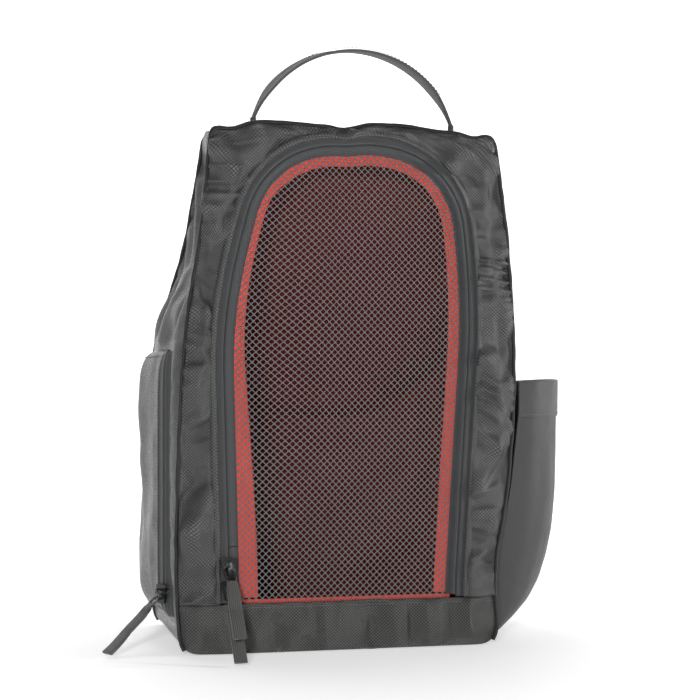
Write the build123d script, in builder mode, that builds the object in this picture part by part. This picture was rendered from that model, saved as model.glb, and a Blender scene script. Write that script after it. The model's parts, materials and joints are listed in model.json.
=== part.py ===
from build123d import *
import os
from math import cos, radians, sin

# Soft shoe bag that stands on its base. Millimetres.
# The front faces -Y, +X is the bottle pocket's side, +Z is up, and the origin is the middle of the base.

# --- driving dimensions -------------------------------------------------------------------------
BASE_HALF_WIDTH = 116
MIDDLE_HALF_WIDTH = 120
SHOULDER_HALF_WIDTH = 106
CORNER_HALF_WIDTH = 98
RIDGE_HALF_WIDTH = 76
BASE_CORNER = 12
MIDDLE_HEIGHT = 170
SHOULDER_HEIGHT = 350
CORNER_HEIGHT = 363
RIDGE_HEIGHT = 372
CROWN_HEIGHT = 374
CROWN_FALL = 0.5
CORNER_INWARD = 0.5
CORNER_DOWN = 0.9

FRONT_Y = -80
FRONT_LEAN = 10 / 372
BACK_Y = 80
BACK_BEND_HEIGHT = 190
BACK_TOP_Y = -38

WALL = 1.6
LINING = 0.8
BOARD = 2.4
BOARD_MARGIN = 5
BOARD_CORNER = 10
BAND_TOP = 35
CLEAR = 0.35

ZIP_BOTTOM = 36
ZIP_HALF_WIDTH_BOTTOM = 82
ZIP_HALF_WIDTH = 85.5
ZIP_STRAIGHT_TOP = 200
ZIP_HALF_WIDTH_TOP = 77
ZIP_CORNER_START = 308
ZIP_CROWN_HALF_WIDTH = 26
ZIP_TOP = 358
ZIP_GAP = 0.4
ZIP_CROWN_RISE = 2
COIL = 2.3
COIL_PROUD = 0.9
TAPE = 6.5
TAPE_NEAR = 0.4
TAPE_FAR = 1.2
BINDING = 10
GARAGE_OUTWARD = 2
GARAGE_INWARD = 5
GARAGE_TOP = 75
FLAP_BOTTOM = 38

SLIDER_LENGTH = 13.5
SLIDER_HEAD = 11.4
SLIDER_TAIL = 8.4
UPPER_SLIDER_HEIGHT = 61
LOWER_SLIDER_HEIGHT = 45
PLATE_NEAR = COIL_PROUD + CLEAR
PLATE_FAR = PLATE_NEAR + 1.8
BRIDGE_HEIGHT = 3.8
BRIDGE_WIDTH = 2.6
BRIDGE_LENGTH = 8
PIN_ALONG = -1
PIN_PROUD = PLATE_FAR + 1.6
SLOT_LENGTH = 4.4
SLOT_HEIGHT = 2.4
FLANGE_INNER = COIL + ZIP_GAP + CLEAR + 0.6
PULL_LENGTH = 16
PULL_WIDTH = 7
PULL_THICK = 1.2
PULL_WINDOW = 7.2
TAB_START = PULL_LENGTH - 5
TAB_WIDTH = 9.5
TAB_THICK = 2.8
FRONT_PULL_REACH = 60
FRONT_PULL_ANGLE = 46

PIPING = 2.6

POCKET_BOTTOM = 32
POCKET_TOP = 207
POCKET_FULL_Y = 8
POCKET_FOOT = 108
POCKET_SLOPE = 14
POCKET_FULLER = 1.5
POCKET_BACK_Y = 58
POCKET_BULGE = 17
POCKET_ZIP_FRONT = (-119.5, -55)
POCKET_ZIP_BACK = (-127.5, -39)
POCKET_SLIDER_HEIGHT = 40
POCKET_PULL_REACH = 56
POCKET_PULL_ANGLE = 50

BOTTLE_HALF_DEPTH = 62
BOTTLE_MOUTH = 192
BOTTLE_HEM = 27
BOTTLE_BULGE = 62
POCKET_WALL = 1.4
HEM = 1.2

HANDLE_WIDTH = 22
HANDLE_THICK = 2.4
HANDLE_RISE = 55
HANDLE_FOOT = 4
HANDLE_TAPER = 16
HANDLE_TONGUE = 2.5
ANCHOR_THICK = 1.2
ANCHOR_INWARD = 14
ANCHOR_OUTWARD = 10

# Bounds of the sheets that cut the panels: wider, lower and higher than the bag.
REACH = 400
UNDER = -1
OVER = CROWN_HEIGHT + 16


# --- profiles shared by the panels --------------------------------------------------------------
def front_y(z):
    """Where the front face lies at a height."""
    return FRONT_Y + FRONT_LEAN * z


def back_y(z):
    """Where the back lies at a height above its bend."""
    return BACK_Y - (BACK_Y - BACK_TOP_Y) * (z - BACK_BEND_HEIGHT) / (CROWN_HEIGHT - BACK_BEND_HEIGHT)


def outline(inset):
    """The bag seen from the front, drawn in by an inset."""
    with BuildSketch() as sketch:
        with BuildLine():
            base = Line((0, inset), (BASE_HALF_WIDTH - BASE_CORNER, inset))
            corner = TangentArc(
                base @ 1, (BASE_HALF_WIDTH - inset, BASE_CORNER), tangent=base % 1
            )
            side = ThreePointArc(
                corner @ 1,
                (MIDDLE_HALF_WIDTH - inset, MIDDLE_HEIGHT),
                (SHOULDER_HALF_WIDTH - inset, SHOULDER_HEIGHT),
            )
            shoulder = TangentArc(
                side @ 1,
                (CORNER_HALF_WIDTH - CORNER_INWARD * inset, CORNER_HEIGHT - CORNER_DOWN * inset),
                tangent=side % 1,
            )
            slope = Line(shoulder @ 1, (RIDGE_HALF_WIDTH, RIDGE_HEIGHT - inset))
            crown = ThreePointArc(
                slope @ 1,
                (RIDGE_HALF_WIDTH / 2, CROWN_HEIGHT - CROWN_FALL - inset),
                (0, CROWN_HEIGHT - inset),
            )
            Line(crown @ 1, base @ 0)
        make_face()
        mirror(about=Plane.YZ)
    return sketch.sketch


def window(inset):
    """The arch that the zip follows, drawn in by an inset from the line where its coils meet."""
    with BuildSketch() as sketch:
        with BuildLine():
            leg = Line(
                (ZIP_HALF_WIDTH_BOTTOM - inset, ZIP_BOTTOM),
                (ZIP_HALF_WIDTH - inset, ZIP_STRAIGHT_TOP),
            )
            side = TangentArc(
                leg @ 1, (ZIP_HALF_WIDTH_TOP - inset, ZIP_CORNER_START), tangent=leg % 1
            )
            corner = TangentArc(
                side @ 1, (ZIP_CROWN_HALF_WIDTH, ZIP_TOP - inset), tangent=side % 1
            )
            crown = TangentArc(corner @ 1, (0, ZIP_TOP + ZIP_CROWN_RISE - inset), tangent=corner % 1)
            Polyline(crown @ 1, (0, ZIP_BOTTOM), leg @ 0)
        make_face()
        mirror(about=Plane.YZ)
    return sketch.sketch


def side_profile(near, far):
    """Side view of the space between a depth behind the front face and one before the back face."""
    with BuildSketch(Plane.YZ) as sketch:
        with BuildLine():
            Polyline(
                (front_y(UNDER) + near, UNDER),
                (BACK_Y - far, UNDER),
                (BACK_Y - far, BACK_BEND_HEIGHT),
                (back_y(OVER) - far, OVER),
                (front_y(OVER) + near, OVER),
                close=True,
            )
        make_face()
    return sketch.sketch


def front_layer(near, far):
    """Side view of a layer behind the front face, between two depths."""
    with BuildSketch(Plane.YZ) as sketch:
        with BuildLine():
            Polyline(
                (front_y(UNDER) + near, UNDER),
                (front_y(UNDER) + far, UNDER),
                (front_y(OVER) + far, OVER),
                (front_y(OVER) + near, OVER),
                close=True,
            )
        make_face()
    return sketch.sketch


def back_layer(near, far):
    """Side view of a layer before the back face, between two depths."""
    with BuildSketch(Plane.YZ) as sketch:
        with BuildLine():
            Polyline(
                (BACK_Y - near, UNDER),
                (BACK_Y - near, BACK_BEND_HEIGHT),
                (back_y(OVER) - near, OVER),
                (back_y(OVER) - far, OVER),
                (BACK_Y - far, BACK_BEND_HEIGHT),
                (BACK_Y - far, UNDER),
                close=True,
            )
        make_face()
    return sketch.sketch


def span(x_low, x_high, z_low, z_high):
    """A rectangle in the front view."""
    with BuildSketch() as sketch:
        with Locations(((x_low + x_high) / 2, (z_low + z_high) / 2)):
            Rectangle(x_high - x_low, z_high - z_low)
    return sketch.sketch


BELOW_SHOULDER = span(-REACH, REACH, BASE_CORNER, SHOULDER_HEIGHT)
ZIP_FOOT = span(-ZIP_HALF_WIDTH_BOTTOM - TAPE, ZIP_HALF_WIDTH_BOTTOM + TAPE, 0, ZIP_BOTTOM)


# --- front face ---------------------------------------------------------------------------------
with BuildPart() as front_frame:
    with BuildSketch(Plane.XZ):
        add(outline(0))
        add(span(-REACH, REACH, BAND_TOP, REACH), mode=Mode.INTERSECT)
        add(window(-TAPE), mode=Mode.SUBTRACT)
        add(ZIP_FOOT, mode=Mode.SUBTRACT)
    extrude(amount=REACH, both=True)
    extrude(front_layer(0, WALL), amount=REACH, both=True, mode=Mode.INTERSECT)

with BuildPart() as front_band:
    with BuildSketch(Plane.XZ):
        add(outline(0))
        add(span(-REACH, REACH, -1, BAND_TOP), mode=Mode.INTERSECT)
    extrude(amount=REACH, both=True)
    extrude(front_layer(0, WALL), amount=REACH, both=True, mode=Mode.INTERSECT)

with BuildPart() as front_lining:
    with BuildSketch(Plane.XZ):
        add(outline(WALL + LINING))
        add(span(-REACH, REACH, ZIP_BOTTOM, REACH), mode=Mode.INTERSECT)
        add(window(-TAPE), mode=Mode.SUBTRACT)
    extrude(amount=REACH, both=True)
    extrude(front_layer(WALL, WALL + LINING), amount=REACH, both=True, mode=Mode.INTERSECT)

with BuildPart() as band_binding:
    with BuildSketch(Plane.XZ):
        add(span(-ZIP_HALF_WIDTH_BOTTOM, ZIP_HALF_WIDTH_BOTTOM, BAND_TOP - 7, BAND_TOP))
    extrude(amount=REACH, both=True)
    extrude(front_layer(WALL, WALL + 1), amount=REACH, both=True, mode=Mode.INTERSECT)

# --- zip round the window: the outer half is sewn to the frame ----------------------------------
# Where the sliders are parked, its tape is whole across the zip, and the flap's half starts above them.
GARAGE = span(
    -ZIP_HALF_WIDTH_BOTTOM - GARAGE_OUTWARD, -ZIP_HALF_WIDTH_BOTTOM + GARAGE_INWARD, ZIP_BOTTOM, GARAGE_TOP
)

with BuildPart() as frame_zip_tape:
    with BuildSketch(Plane.XZ):
        add(window(-TAPE))
        add(window(ZIP_GAP), mode=Mode.SUBTRACT)
        add(GARAGE)
    extrude(amount=REACH, both=True)
    extrude(front_layer(TAPE_NEAR, TAPE_FAR), amount=REACH, both=True, mode=Mode.INTERSECT)

with BuildPart() as frame_zip_coil:
    with BuildSketch(Plane.XZ):
        add(window(-COIL - ZIP_GAP))
        add(window(-ZIP_GAP), mode=Mode.SUBTRACT)
    extrude(amount=REACH, both=True)
    extrude(front_layer(-COIL_PROUD, TAPE_NEAR), amount=REACH, both=True, mode=Mode.INTERSECT)

# --- window flap: mesh, its binding, and the inner half of the zip ------------------------------
PARKED = span(-REACH, 0, 0, GARAGE_TOP + 1)
FLAP = span(-REACH, REACH, FLAP_BOTTOM, REACH)

with BuildPart() as flap_zip_tape:
    with BuildSketch(Plane.XZ):
        add(window(2 * ZIP_GAP))
        add(window(TAPE), mode=Mode.SUBTRACT)
        add(FLAP, mode=Mode.INTERSECT)
        add(PARKED, mode=Mode.SUBTRACT)
    extrude(amount=REACH, both=True)
    extrude(front_layer(TAPE_NEAR, TAPE_FAR), amount=REACH, both=True, mode=Mode.INTERSECT)

with BuildPart() as flap_zip_coil:
    with BuildSketch(Plane.XZ):
        add(window(ZIP_GAP))
        add(window(COIL + ZIP_GAP), mode=Mode.SUBTRACT)
        add(FLAP, mode=Mode.INTERSECT)
        add(PARKED, mode=Mode.SUBTRACT)
    extrude(amount=REACH, both=True)
    extrude(front_layer(-COIL_PROUD, TAPE_NEAR), amount=REACH, both=True, mode=Mode.INTERSECT)

with BuildPart() as mesh_window:
    with BuildSketch(Plane.XZ):
        add(window(TAPE))
        add(FLAP, mode=Mode.INTERSECT)
    extrude(amount=REACH, both=True)
    extrude(front_layer(TAPE_NEAR, TAPE_FAR), amount=REACH, both=True, mode=Mode.INTERSECT)

with BuildPart() as window_binding:
    with BuildSketch(Plane.XZ):
        add(window(TAPE))
        add(window(TAPE + BINDING), mode=Mode.SUBTRACT)
        add(FLAP, mode=Mode.INTERSECT)
    extrude(amount=REACH, both=True)
    extrude(front_layer(TAPE_FAR, TAPE_FAR + 1), amount=REACH, both=True, mode=Mode.INTERSECT)

# --- side gussets, top, base and back -----------------------------------------------------------
with BuildPart() as left_gusset:
    with BuildSketch(Plane.XZ):
        add(outline(0))
        add(outline(WALL), mode=Mode.SUBTRACT)
        add(BELOW_SHOULDER, mode=Mode.INTERSECT)
        add(span(0, REACH, 0, REACH), mode=Mode.SUBTRACT)
    extrude(amount=REACH, both=True)
    extrude(side_profile(WALL, WALL), amount=REACH, both=True, mode=Mode.INTERSECT)

with BuildPart() as right_gusset:
    add(mirror(left_gusset.part, about=Plane.YZ, mode=Mode.PRIVATE))

with BuildPart() as top_panel:
    with BuildSketch(Plane.XZ):
        add(outline(0))
        add(outline(WALL), mode=Mode.SUBTRACT)
        add(span(-REACH, REACH, SHOULDER_HEIGHT, REACH), mode=Mode.INTERSECT)
    extrude(amount=REACH, both=True)
    extrude(side_profile(WALL, WALL), amount=REACH, both=True, mode=Mode.INTERSECT)

with BuildPart() as base_panel:
    with BuildSketch(Plane.XZ):
        add(outline(0))
        add(outline(WALL), mode=Mode.SUBTRACT)
        add(span(-REACH, REACH, -1, BASE_CORNER), mode=Mode.INTERSECT)
    extrude(amount=REACH, both=True)
    extrude(side_profile(WALL, WALL), amount=REACH, both=True, mode=Mode.INTERSECT)

with BuildPart() as back_panel:
    with BuildSketch(Plane.XZ):
        add(outline(0))
    extrude(amount=REACH, both=True)
    extrude(back_layer(0, WALL), amount=REACH, both=True, mode=Mode.INTERSECT)

# --- lining and stiffener -----------------------------------------------------------------------
with BuildPart() as left_lining:
    with BuildSketch(Plane.XZ):
        add(outline(WALL))
        add(outline(WALL + LINING), mode=Mode.SUBTRACT)
        add(BELOW_SHOULDER, mode=Mode.INTERSECT)
        add(span(0, REACH, 0, REACH), mode=Mode.SUBTRACT)
    extrude(amount=REACH, both=True)
    extrude(side_profile(WALL, WALL), amount=REACH, both=True, mode=Mode.INTERSECT)

with BuildPart() as right_lining:
    add(mirror(left_lining.part, about=Plane.YZ, mode=Mode.PRIVATE))

with BuildPart() as top_lining:
    with BuildSketch(Plane.XZ):
        add(outline(WALL))
        add(outline(WALL + LINING), mode=Mode.SUBTRACT)
        add(span(-REACH, REACH, SHOULDER_HEIGHT, REACH), mode=Mode.INTERSECT)
    extrude(amount=REACH, both=True)
    extrude(side_profile(WALL, WALL), amount=REACH, both=True, mode=Mode.INTERSECT)

with BuildPart() as back_lining:
    with BuildSketch(Plane.XZ):
        add(outline(WALL + LINING))
        add(span(-REACH, REACH, BASE_CORNER, REACH), mode=Mode.INTERSECT)
    extrude(amount=REACH, both=True)
    extrude(back_layer(WALL, WALL + LINING), amount=REACH, both=True, mode=Mode.INTERSECT)

BOARD_TOP = WALL + BOARD
BOARD_HALF_WIDTH = BASE_HALF_WIDTH - BASE_CORNER
BOARD_DEPTH = BACK_Y - FRONT_Y - 2 * WALL - 2 * BOARD_MARGIN

with BuildPart() as base_board:
    with BuildSketch(Plane.XY.offset(WALL)):
        RectangleRounded(2 * BOARD_HALF_WIDTH, BOARD_DEPTH, BOARD_CORNER)
    extrude(amount=BOARD)

with BuildPart() as base_lining:
    with BuildSketch(Plane.XY.offset(BOARD_TOP)):
        RectangleRounded(2 * BOARD_HALF_WIDTH, BOARD_DEPTH, BOARD_CORNER)
    extrude(amount=LINING)

# --- piping round the two seams -----------------------------------------------------------------
with BuildPart() as front_piping:
    with BuildSketch(Plane.XZ):
        add(outline(-PIPING / 2))
        add(outline(0), mode=Mode.SUBTRACT)
        add(span(-REACH, REACH, BASE_CORNER, REACH), mode=Mode.INTERSECT)
    extrude(amount=REACH, both=True)
    extrude(front_layer(-PIPING / 2, PIPING / 2), amount=REACH, both=True, mode=Mode.INTERSECT)

with BuildPart() as back_piping:
    with BuildSketch(Plane.XZ):
        add(outline(-PIPING / 2))
        add(outline(0), mode=Mode.SUBTRACT)
        add(span(-REACH, REACH, BASE_CORNER, REACH), mode=Mode.INTERSECT)
    extrude(amount=REACH, both=True)
    extrude(back_layer(-PIPING / 2, PIPING / 2), amount=REACH, both=True, mode=Mode.INTERSECT)


# --- envelope of the bag, which trims what is sewn on its sides ---------------------------------
with BuildPart() as envelope:
    with BuildSketch(Plane.XZ):
        add(outline(0))
    extrude(amount=REACH, both=True)
    extrude(side_profile(0, 0), amount=REACH, both=True, mode=Mode.INTERSECT)


def bulge_section(bulge, wall, height):
    """Plan view of the bottle pocket at a height: a chord inside the bag and an arc bulging from it."""
    with BuildSketch(Plane.XY.offset(height)) as sketch:
        with BuildLine():
            arc = ThreePointArc(
                (POCKET_FOOT, -BOTTLE_HALF_DEPTH + wall),
                (MIDDLE_HALF_WIDTH + bulge, 0),
                (POCKET_FOOT, BOTTLE_HALF_DEPTH - wall),
            )
            Line(arc @ 1, arc @ 0)
        make_face()
    return sketch.sketch


def bottle_form(sections, wall, lift):
    """The bottle pocket's swelling sections, drawn in by its wall and lifted by its floor."""
    return [
        bulge_section(BOTTLE_BULGE * share - wall, wall, height + lift)
        for height, share in sections
    ]


# --- bottle pocket on the right side ------------------------------------------------------------
BOTTLE_SECTIONS = [(6, 0.1), (42, 0.66), (80, 0.93), (140, 1.0), (BOTTLE_MOUTH, 1.0)]

with BuildPart() as bottle_inside:
    loft(bottle_form(BOTTLE_SECTIONS, POCKET_WALL, 2 * POCKET_WALL))

with BuildPart() as bottle_pocket:
    loft(bottle_form(BOTTLE_SECTIONS, 0, 0))
    add(bottle_inside.part, mode=Mode.SUBTRACT)
    add(envelope.part, mode=Mode.SUBTRACT)

HEM_SECTIONS = [(BOTTLE_MOUTH - BOTTLE_HEM, 1.0), (BOTTLE_MOUTH, 1.0)]

with BuildPart() as bottle_pocket_hem:
    loft(bottle_form(HEM_SECTIONS, -HEM, 0))
    loft(bottle_form(HEM_SECTIONS, 0, 0), mode=Mode.SUBTRACT)
    add(envelope.part, mode=Mode.SUBTRACT)


# --- zipped pocket on the left side -------------------------------------------------------------
def pocket_plan(wall, front):
    """Plan view of the zipped pocket: from the zip's back edge it swells and closes on the gusset."""
    with BuildSketch() as sketch:
        with BuildLine():
            swell = ThreePointArc(
                (POCKET_ZIP_BACK[0] + wall, front),
                (-MIDDLE_HALF_WIDTH - POCKET_BULGE + wall, POCKET_FULL_Y),
                (-POCKET_FOOT, POCKET_BACK_Y - wall),
            )
            Polyline(swell @ 1, (-POCKET_FOOT, front), swell @ 0)
        make_face()
    return sketch.sketch


def pocket_front(wall):
    """Front view of the zipped pocket, between its sloping top and bottom."""
    with BuildSketch(Plane.XZ) as sketch:
        with BuildLine():
            swell = ThreePointArc(
                (POCKET_ZIP_BACK[0] + wall - POCKET_FULLER, POCKET_BOTTOM + wall),
                (-MIDDLE_HALF_WIDTH - POCKET_BULGE + wall, (POCKET_BOTTOM + POCKET_TOP) / 2),
                (POCKET_ZIP_BACK[0] + wall - POCKET_FULLER, POCKET_TOP - wall),
            )
            Polyline(
                swell @ 1,
                (-POCKET_FOOT, POCKET_TOP + POCKET_SLOPE - wall),
                (-POCKET_FOOT, POCKET_BOTTOM - POCKET_SLOPE + wall),
                swell @ 0,
            )
        make_face()
    return sketch.sketch


with BuildPart() as zip_pocket_inside:
    add(pocket_plan(POCKET_WALL, POCKET_ZIP_BACK[1] - POCKET_WALL))
    extrude(amount=REACH, both=True)
    extrude(pocket_front(POCKET_WALL), amount=REACH, both=True, mode=Mode.INTERSECT)

with BuildPart() as zip_pocket_panel:
    add(pocket_plan(0, POCKET_ZIP_BACK[1]))
    extrude(amount=REACH, both=True)
    extrude(pocket_front(0), amount=REACH, both=True, mode=Mode.INTERSECT)
    add(zip_pocket_inside.part, mode=Mode.SUBTRACT)
    add(envelope.part, mode=Mode.SUBTRACT)

# The pocket's zip stands upright on a narrow facing between the front seam and the pocket.
FACING = Vector(*POCKET_ZIP_BACK) - Vector(*POCKET_ZIP_FRONT)
FACING_WIDTH = FACING.length
FACING_SIDEWAYS = FACING.normalized()
FACING_OUT = FACING_SIDEWAYS.cross(Vector(0, 0, -1))
FACING_MIDDLE = (Vector(*POCKET_ZIP_FRONT) + Vector(*POCKET_ZIP_BACK)) / 2
FACING_PLANE = Plane(origin=FACING_MIDDLE, x_dir=-FACING_SIDEWAYS, z_dir=FACING_OUT)
POCKET_ZIP_HEIGHT = POCKET_TOP - POCKET_BOTTOM
POCKET_ZIP_MIDDLE = (POCKET_TOP + POCKET_BOTTOM) / 2


def facing_strip(low, high):
    """An upright strip of the pocket's facing, between two places across it."""
    with BuildSketch(FACING_PLANE) as sketch:
        with Locations(((low + high) / 2, POCKET_ZIP_MIDDLE)):
            Rectangle(high - low, POCKET_ZIP_HEIGHT)
    return sketch.sketch


with BuildPart() as pocket_zip_front_tape:
    extrude(facing_strip(ZIP_GAP / 2, FACING_WIDTH / 2), amount=-(TAPE_FAR - TAPE_NEAR))
    add(envelope.part, mode=Mode.SUBTRACT)

with BuildPart() as pocket_zip_back_tape:
    extrude(facing_strip(-FACING_WIDTH / 2, -ZIP_GAP / 2), amount=-(TAPE_FAR - TAPE_NEAR))
    add(envelope.part, mode=Mode.SUBTRACT)
    add(zip_pocket_panel.part, mode=Mode.SUBTRACT)

with BuildPart() as pocket_zip_coils:
    extrude(facing_strip(-ZIP_GAP / 2 - COIL, -ZIP_GAP / 2), amount=COIL_PROUD)
    extrude(facing_strip(ZIP_GAP / 2, ZIP_GAP / 2 + COIL), amount=COIL_PROUD)


# --- sliders, pulls and their webbing tabs ------------------------------------------------------
def zip_plane(origin, along, outward):
    """A plane on a zip's face: x across the zip, y along it and z outward."""
    return Plane(origin=origin, x_dir=along.cross(outward), z_dir=outward)


def pull_plane(on_zip, angle):
    """A plane through a slider's pin, with y pointing back up the pull, which hangs at an angle."""
    hinge = on_zip.from_local_coords(Vector(0, PIN_ALONG, PIN_PROUD))
    down = Vector(0, 0, -cos(radians(angle))) + on_zip.z_dir * sin(radians(angle))
    return Plane(origin=hinge, x_dir=on_zip.x_dir, z_dir=on_zip.x_dir.cross(-down))



def slider(on_zip):
    """A slider's front plate with its side flanges and the bridge that carries the pull."""
    with BuildPart() as form:
        with BuildSketch(on_zip.offset(PLATE_NEAR)):
            with BuildLine():
                Polyline(
                    (-SLIDER_TAIL / 2, -SLIDER_LENGTH / 2),
                    (SLIDER_TAIL / 2, -SLIDER_LENGTH / 2),
                    (SLIDER_HEAD / 2, SLIDER_LENGTH / 6),
                    (SLIDER_HEAD / 2, SLIDER_LENGTH / 2),
                    (-SLIDER_HEAD / 2, SLIDER_LENGTH / 2),
                    (-SLIDER_HEAD / 2, SLIDER_LENGTH / 6),
                    close=True,
                )
            make_face()
            fillet(vertices(), radius=1.2)
        extrude(amount=PLATE_FAR - PLATE_NEAR)
        with BuildSketch(on_zip.offset(CLEAR - TAPE_NEAR)):
            for x in (-1, 1):
                with Locations((x * (FLANGE_INNER + SLIDER_HEAD / 2) / 2, SLIDER_LENGTH / 4)):
                    Rectangle(SLIDER_HEAD / 2 - FLANGE_INNER, SLIDER_LENGTH / 3)
        extrude(amount=PLATE_NEAR + TAPE_NEAR - CLEAR)
        with BuildSketch(on_zip.offset(PLATE_FAR)):
            RectangleRounded(BRIDGE_WIDTH, BRIDGE_LENGTH, 1)
        extrude(amount=BRIDGE_HEIGHT)
        slot = on_zip.from_local_coords(Vector(0, PIN_ALONG, PIN_PROUD))
        with BuildSketch(Plane(origin=slot, x_dir=on_zip.y_dir, z_dir=on_zip.x_dir)):
            RectangleRounded(SLOT_LENGTH, SLOT_HEIGHT, 1)
        extrude(amount=SLIDER_HEAD, both=True, mode=Mode.SUBTRACT)
    return form.part


def pull(on_pull):
    """A flat metal pull: its top bar turns in the bridge's slot, and its lower eye holds the tab."""
    with BuildPart() as form:
        with BuildSketch(on_pull):
            with Locations((0, -PULL_LENGTH / 2 + PULL_THICK / 2)):
                RectangleRounded(PULL_WIDTH, PULL_LENGTH, 1.2)
            with Locations((0, -PULL_THICK / 2 - PULL_WINDOW / 2)):
                Rectangle(BRIDGE_WIDTH + 1.6, PULL_WINDOW, mode=Mode.SUBTRACT)
            with Locations((0, -PULL_LENGTH + 3.2)):
                Rectangle(PULL_WIDTH - 2.4, 2.4, mode=Mode.SUBTRACT)
        extrude(amount=PULL_THICK / 2, both=True)
    return form.part


def tab(on_pull, reach, metal):
    """A webbing tab folded through the pull's lower eye and stitched to itself."""
    with BuildPart() as form:
        with BuildSketch(on_pull):
            with Locations((0, -(TAB_START + reach) / 2)):
                RectangleRounded(TAB_WIDTH, reach - TAB_START, 0.8)
        extrude(amount=TAB_THICK / 2, both=True)
        add(metal, mode=Mode.SUBTRACT)
    return form.part


LEG_FOOT = Vector(-ZIP_HALF_WIDTH_BOTTOM, front_y(ZIP_BOTTOM), ZIP_BOTTOM)
LEG_HEAD = Vector(-ZIP_HALF_WIDTH, front_y(ZIP_STRAIGHT_TOP), ZIP_STRAIGHT_TOP)
LEG = (LEG_HEAD - LEG_FOOT).normalized()
FRONT_OUT = Vector(0, -1, FRONT_LEAN).normalized()


def leg_plane(height):
    """The zip's plane on the left leg of the window's arch, at a height."""
    place = LEG_FOOT + LEG * ((height - ZIP_BOTTOM) / LEG.Z)
    return zip_plane(place, LEG, FRONT_OUT)


UPPER_ZIP = leg_plane(UPPER_SLIDER_HEIGHT)
LOWER_ZIP = leg_plane(LOWER_SLIDER_HEIGHT)
POCKET_ZIP_PLACE = FACING_MIDDLE + FACING_OUT * TAPE_NEAR + Vector(0, 0, POCKET_SLIDER_HEIGHT)
POCKET_ZIP = zip_plane(POCKET_ZIP_PLACE, Vector(0, 0, 1), FACING_OUT)
UPPER_HANG = pull_plane(UPPER_ZIP, FRONT_PULL_ANGLE)
LOWER_HANG = pull_plane(LOWER_ZIP, FRONT_PULL_ANGLE)
POCKET_HANG = pull_plane(POCKET_ZIP, POCKET_PULL_ANGLE)

with BuildPart() as upper_slider:
    add(slider(UPPER_ZIP))

with BuildPart() as lower_slider:
    add(slider(LOWER_ZIP))

with BuildPart() as pocket_slider:
    add(slider(POCKET_ZIP))

with BuildPart() as upper_pull:
    add(pull(UPPER_HANG))

with BuildPart() as lower_pull:
    add(pull(LOWER_HANG))

with BuildPart() as pocket_pull:
    add(pull(POCKET_HANG))

with BuildPart() as upper_pull_tab:
    add(tab(UPPER_HANG, FRONT_PULL_REACH, upper_pull.part))

with BuildPart() as lower_pull_tab:
    add(tab(LOWER_HANG, FRONT_PULL_REACH, lower_pull.part))

with BuildPart() as pocket_pull_tab:
    add(tab(POCKET_HANG, POCKET_PULL_REACH, pocket_pull.part))

# --- carrying handle on the ridge ---------------------------------------------------------------
TOP_MIDDLE_Y = (front_y(CROWN_HEIGHT) + BACK_TOP_Y) / 2
HANDLE_AXIS_HEIGHT = RIDGE_HEIGHT + HANDLE_FOOT
HANDLE_APEX = HANDLE_AXIS_HEIGHT + HANDLE_RISE
HANDLE_HALF_SPAN = RIDGE_HALF_WIDTH - 1

with BuildPart() as handle:
    with BuildSketch(Plane.XZ.offset(-TOP_MIDDLE_Y)):
        with BuildLine():
            outer = ThreePointArc(
                (-HANDLE_HALF_SPAN, HANDLE_AXIS_HEIGHT),
                (0, HANDLE_APEX),
                (HANDLE_HALF_SPAN, HANDLE_AXIS_HEIGHT),
            )
            inner = ThreePointArc(
                (-HANDLE_HALF_SPAN + HANDLE_THICK, HANDLE_AXIS_HEIGHT),
                (0, HANDLE_APEX - HANDLE_THICK),
                (HANDLE_HALF_SPAN - HANDLE_THICK, HANDLE_AXIS_HEIGHT),
            )
            Line(outer @ 0, inner @ 0)
            Line(outer @ 1, inner @ 1)
        make_face()
    extrude(amount=HANDLE_WIDTH / 2, both=True)
    with BuildSketch(Plane.YZ):
        with BuildLine():
            Polyline(
                (TOP_MIDDLE_Y - HANDLE_TONGUE, HANDLE_AXIS_HEIGHT),
                (TOP_MIDDLE_Y - HANDLE_WIDTH / 2, HANDLE_AXIS_HEIGHT + HANDLE_TAPER),
                (TOP_MIDDLE_Y - HANDLE_WIDTH / 2, HANDLE_APEX),
                (TOP_MIDDLE_Y + HANDLE_WIDTH / 2, HANDLE_APEX),
                (TOP_MIDDLE_Y + HANDLE_WIDTH / 2, HANDLE_AXIS_HEIGHT + HANDLE_TAPER),
                (TOP_MIDDLE_Y + HANDLE_TONGUE, HANDLE_AXIS_HEIGHT),
                close=True,
            )
        make_face()
    extrude(amount=REACH, both=True, mode=Mode.INTERSECT)

with BuildPart() as handle_anchors:
    with BuildSketch(Plane.XZ.offset(-TOP_MIDDLE_Y)):
        add(outline(-ANCHOR_THICK))
        add(outline(0), mode=Mode.SUBTRACT)
        add(span(-REACH, REACH, SHOULDER_HEIGHT, REACH), mode=Mode.INTERSECT)
        add(
            span(-HANDLE_HALF_SPAN + ANCHOR_INWARD, HANDLE_HALF_SPAN - ANCHOR_INWARD, 0, REACH),
            mode=Mode.SUBTRACT,
        )
        add(span(-REACH, -HANDLE_HALF_SPAN - ANCHOR_OUTWARD, 0, REACH), mode=Mode.SUBTRACT)
        add(span(HANDLE_HALF_SPAN + ANCHOR_OUTWARD, REACH, 0, REACH), mode=Mode.SUBTRACT)
    extrude(amount=HANDLE_WIDTH / 2, both=True)

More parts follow.
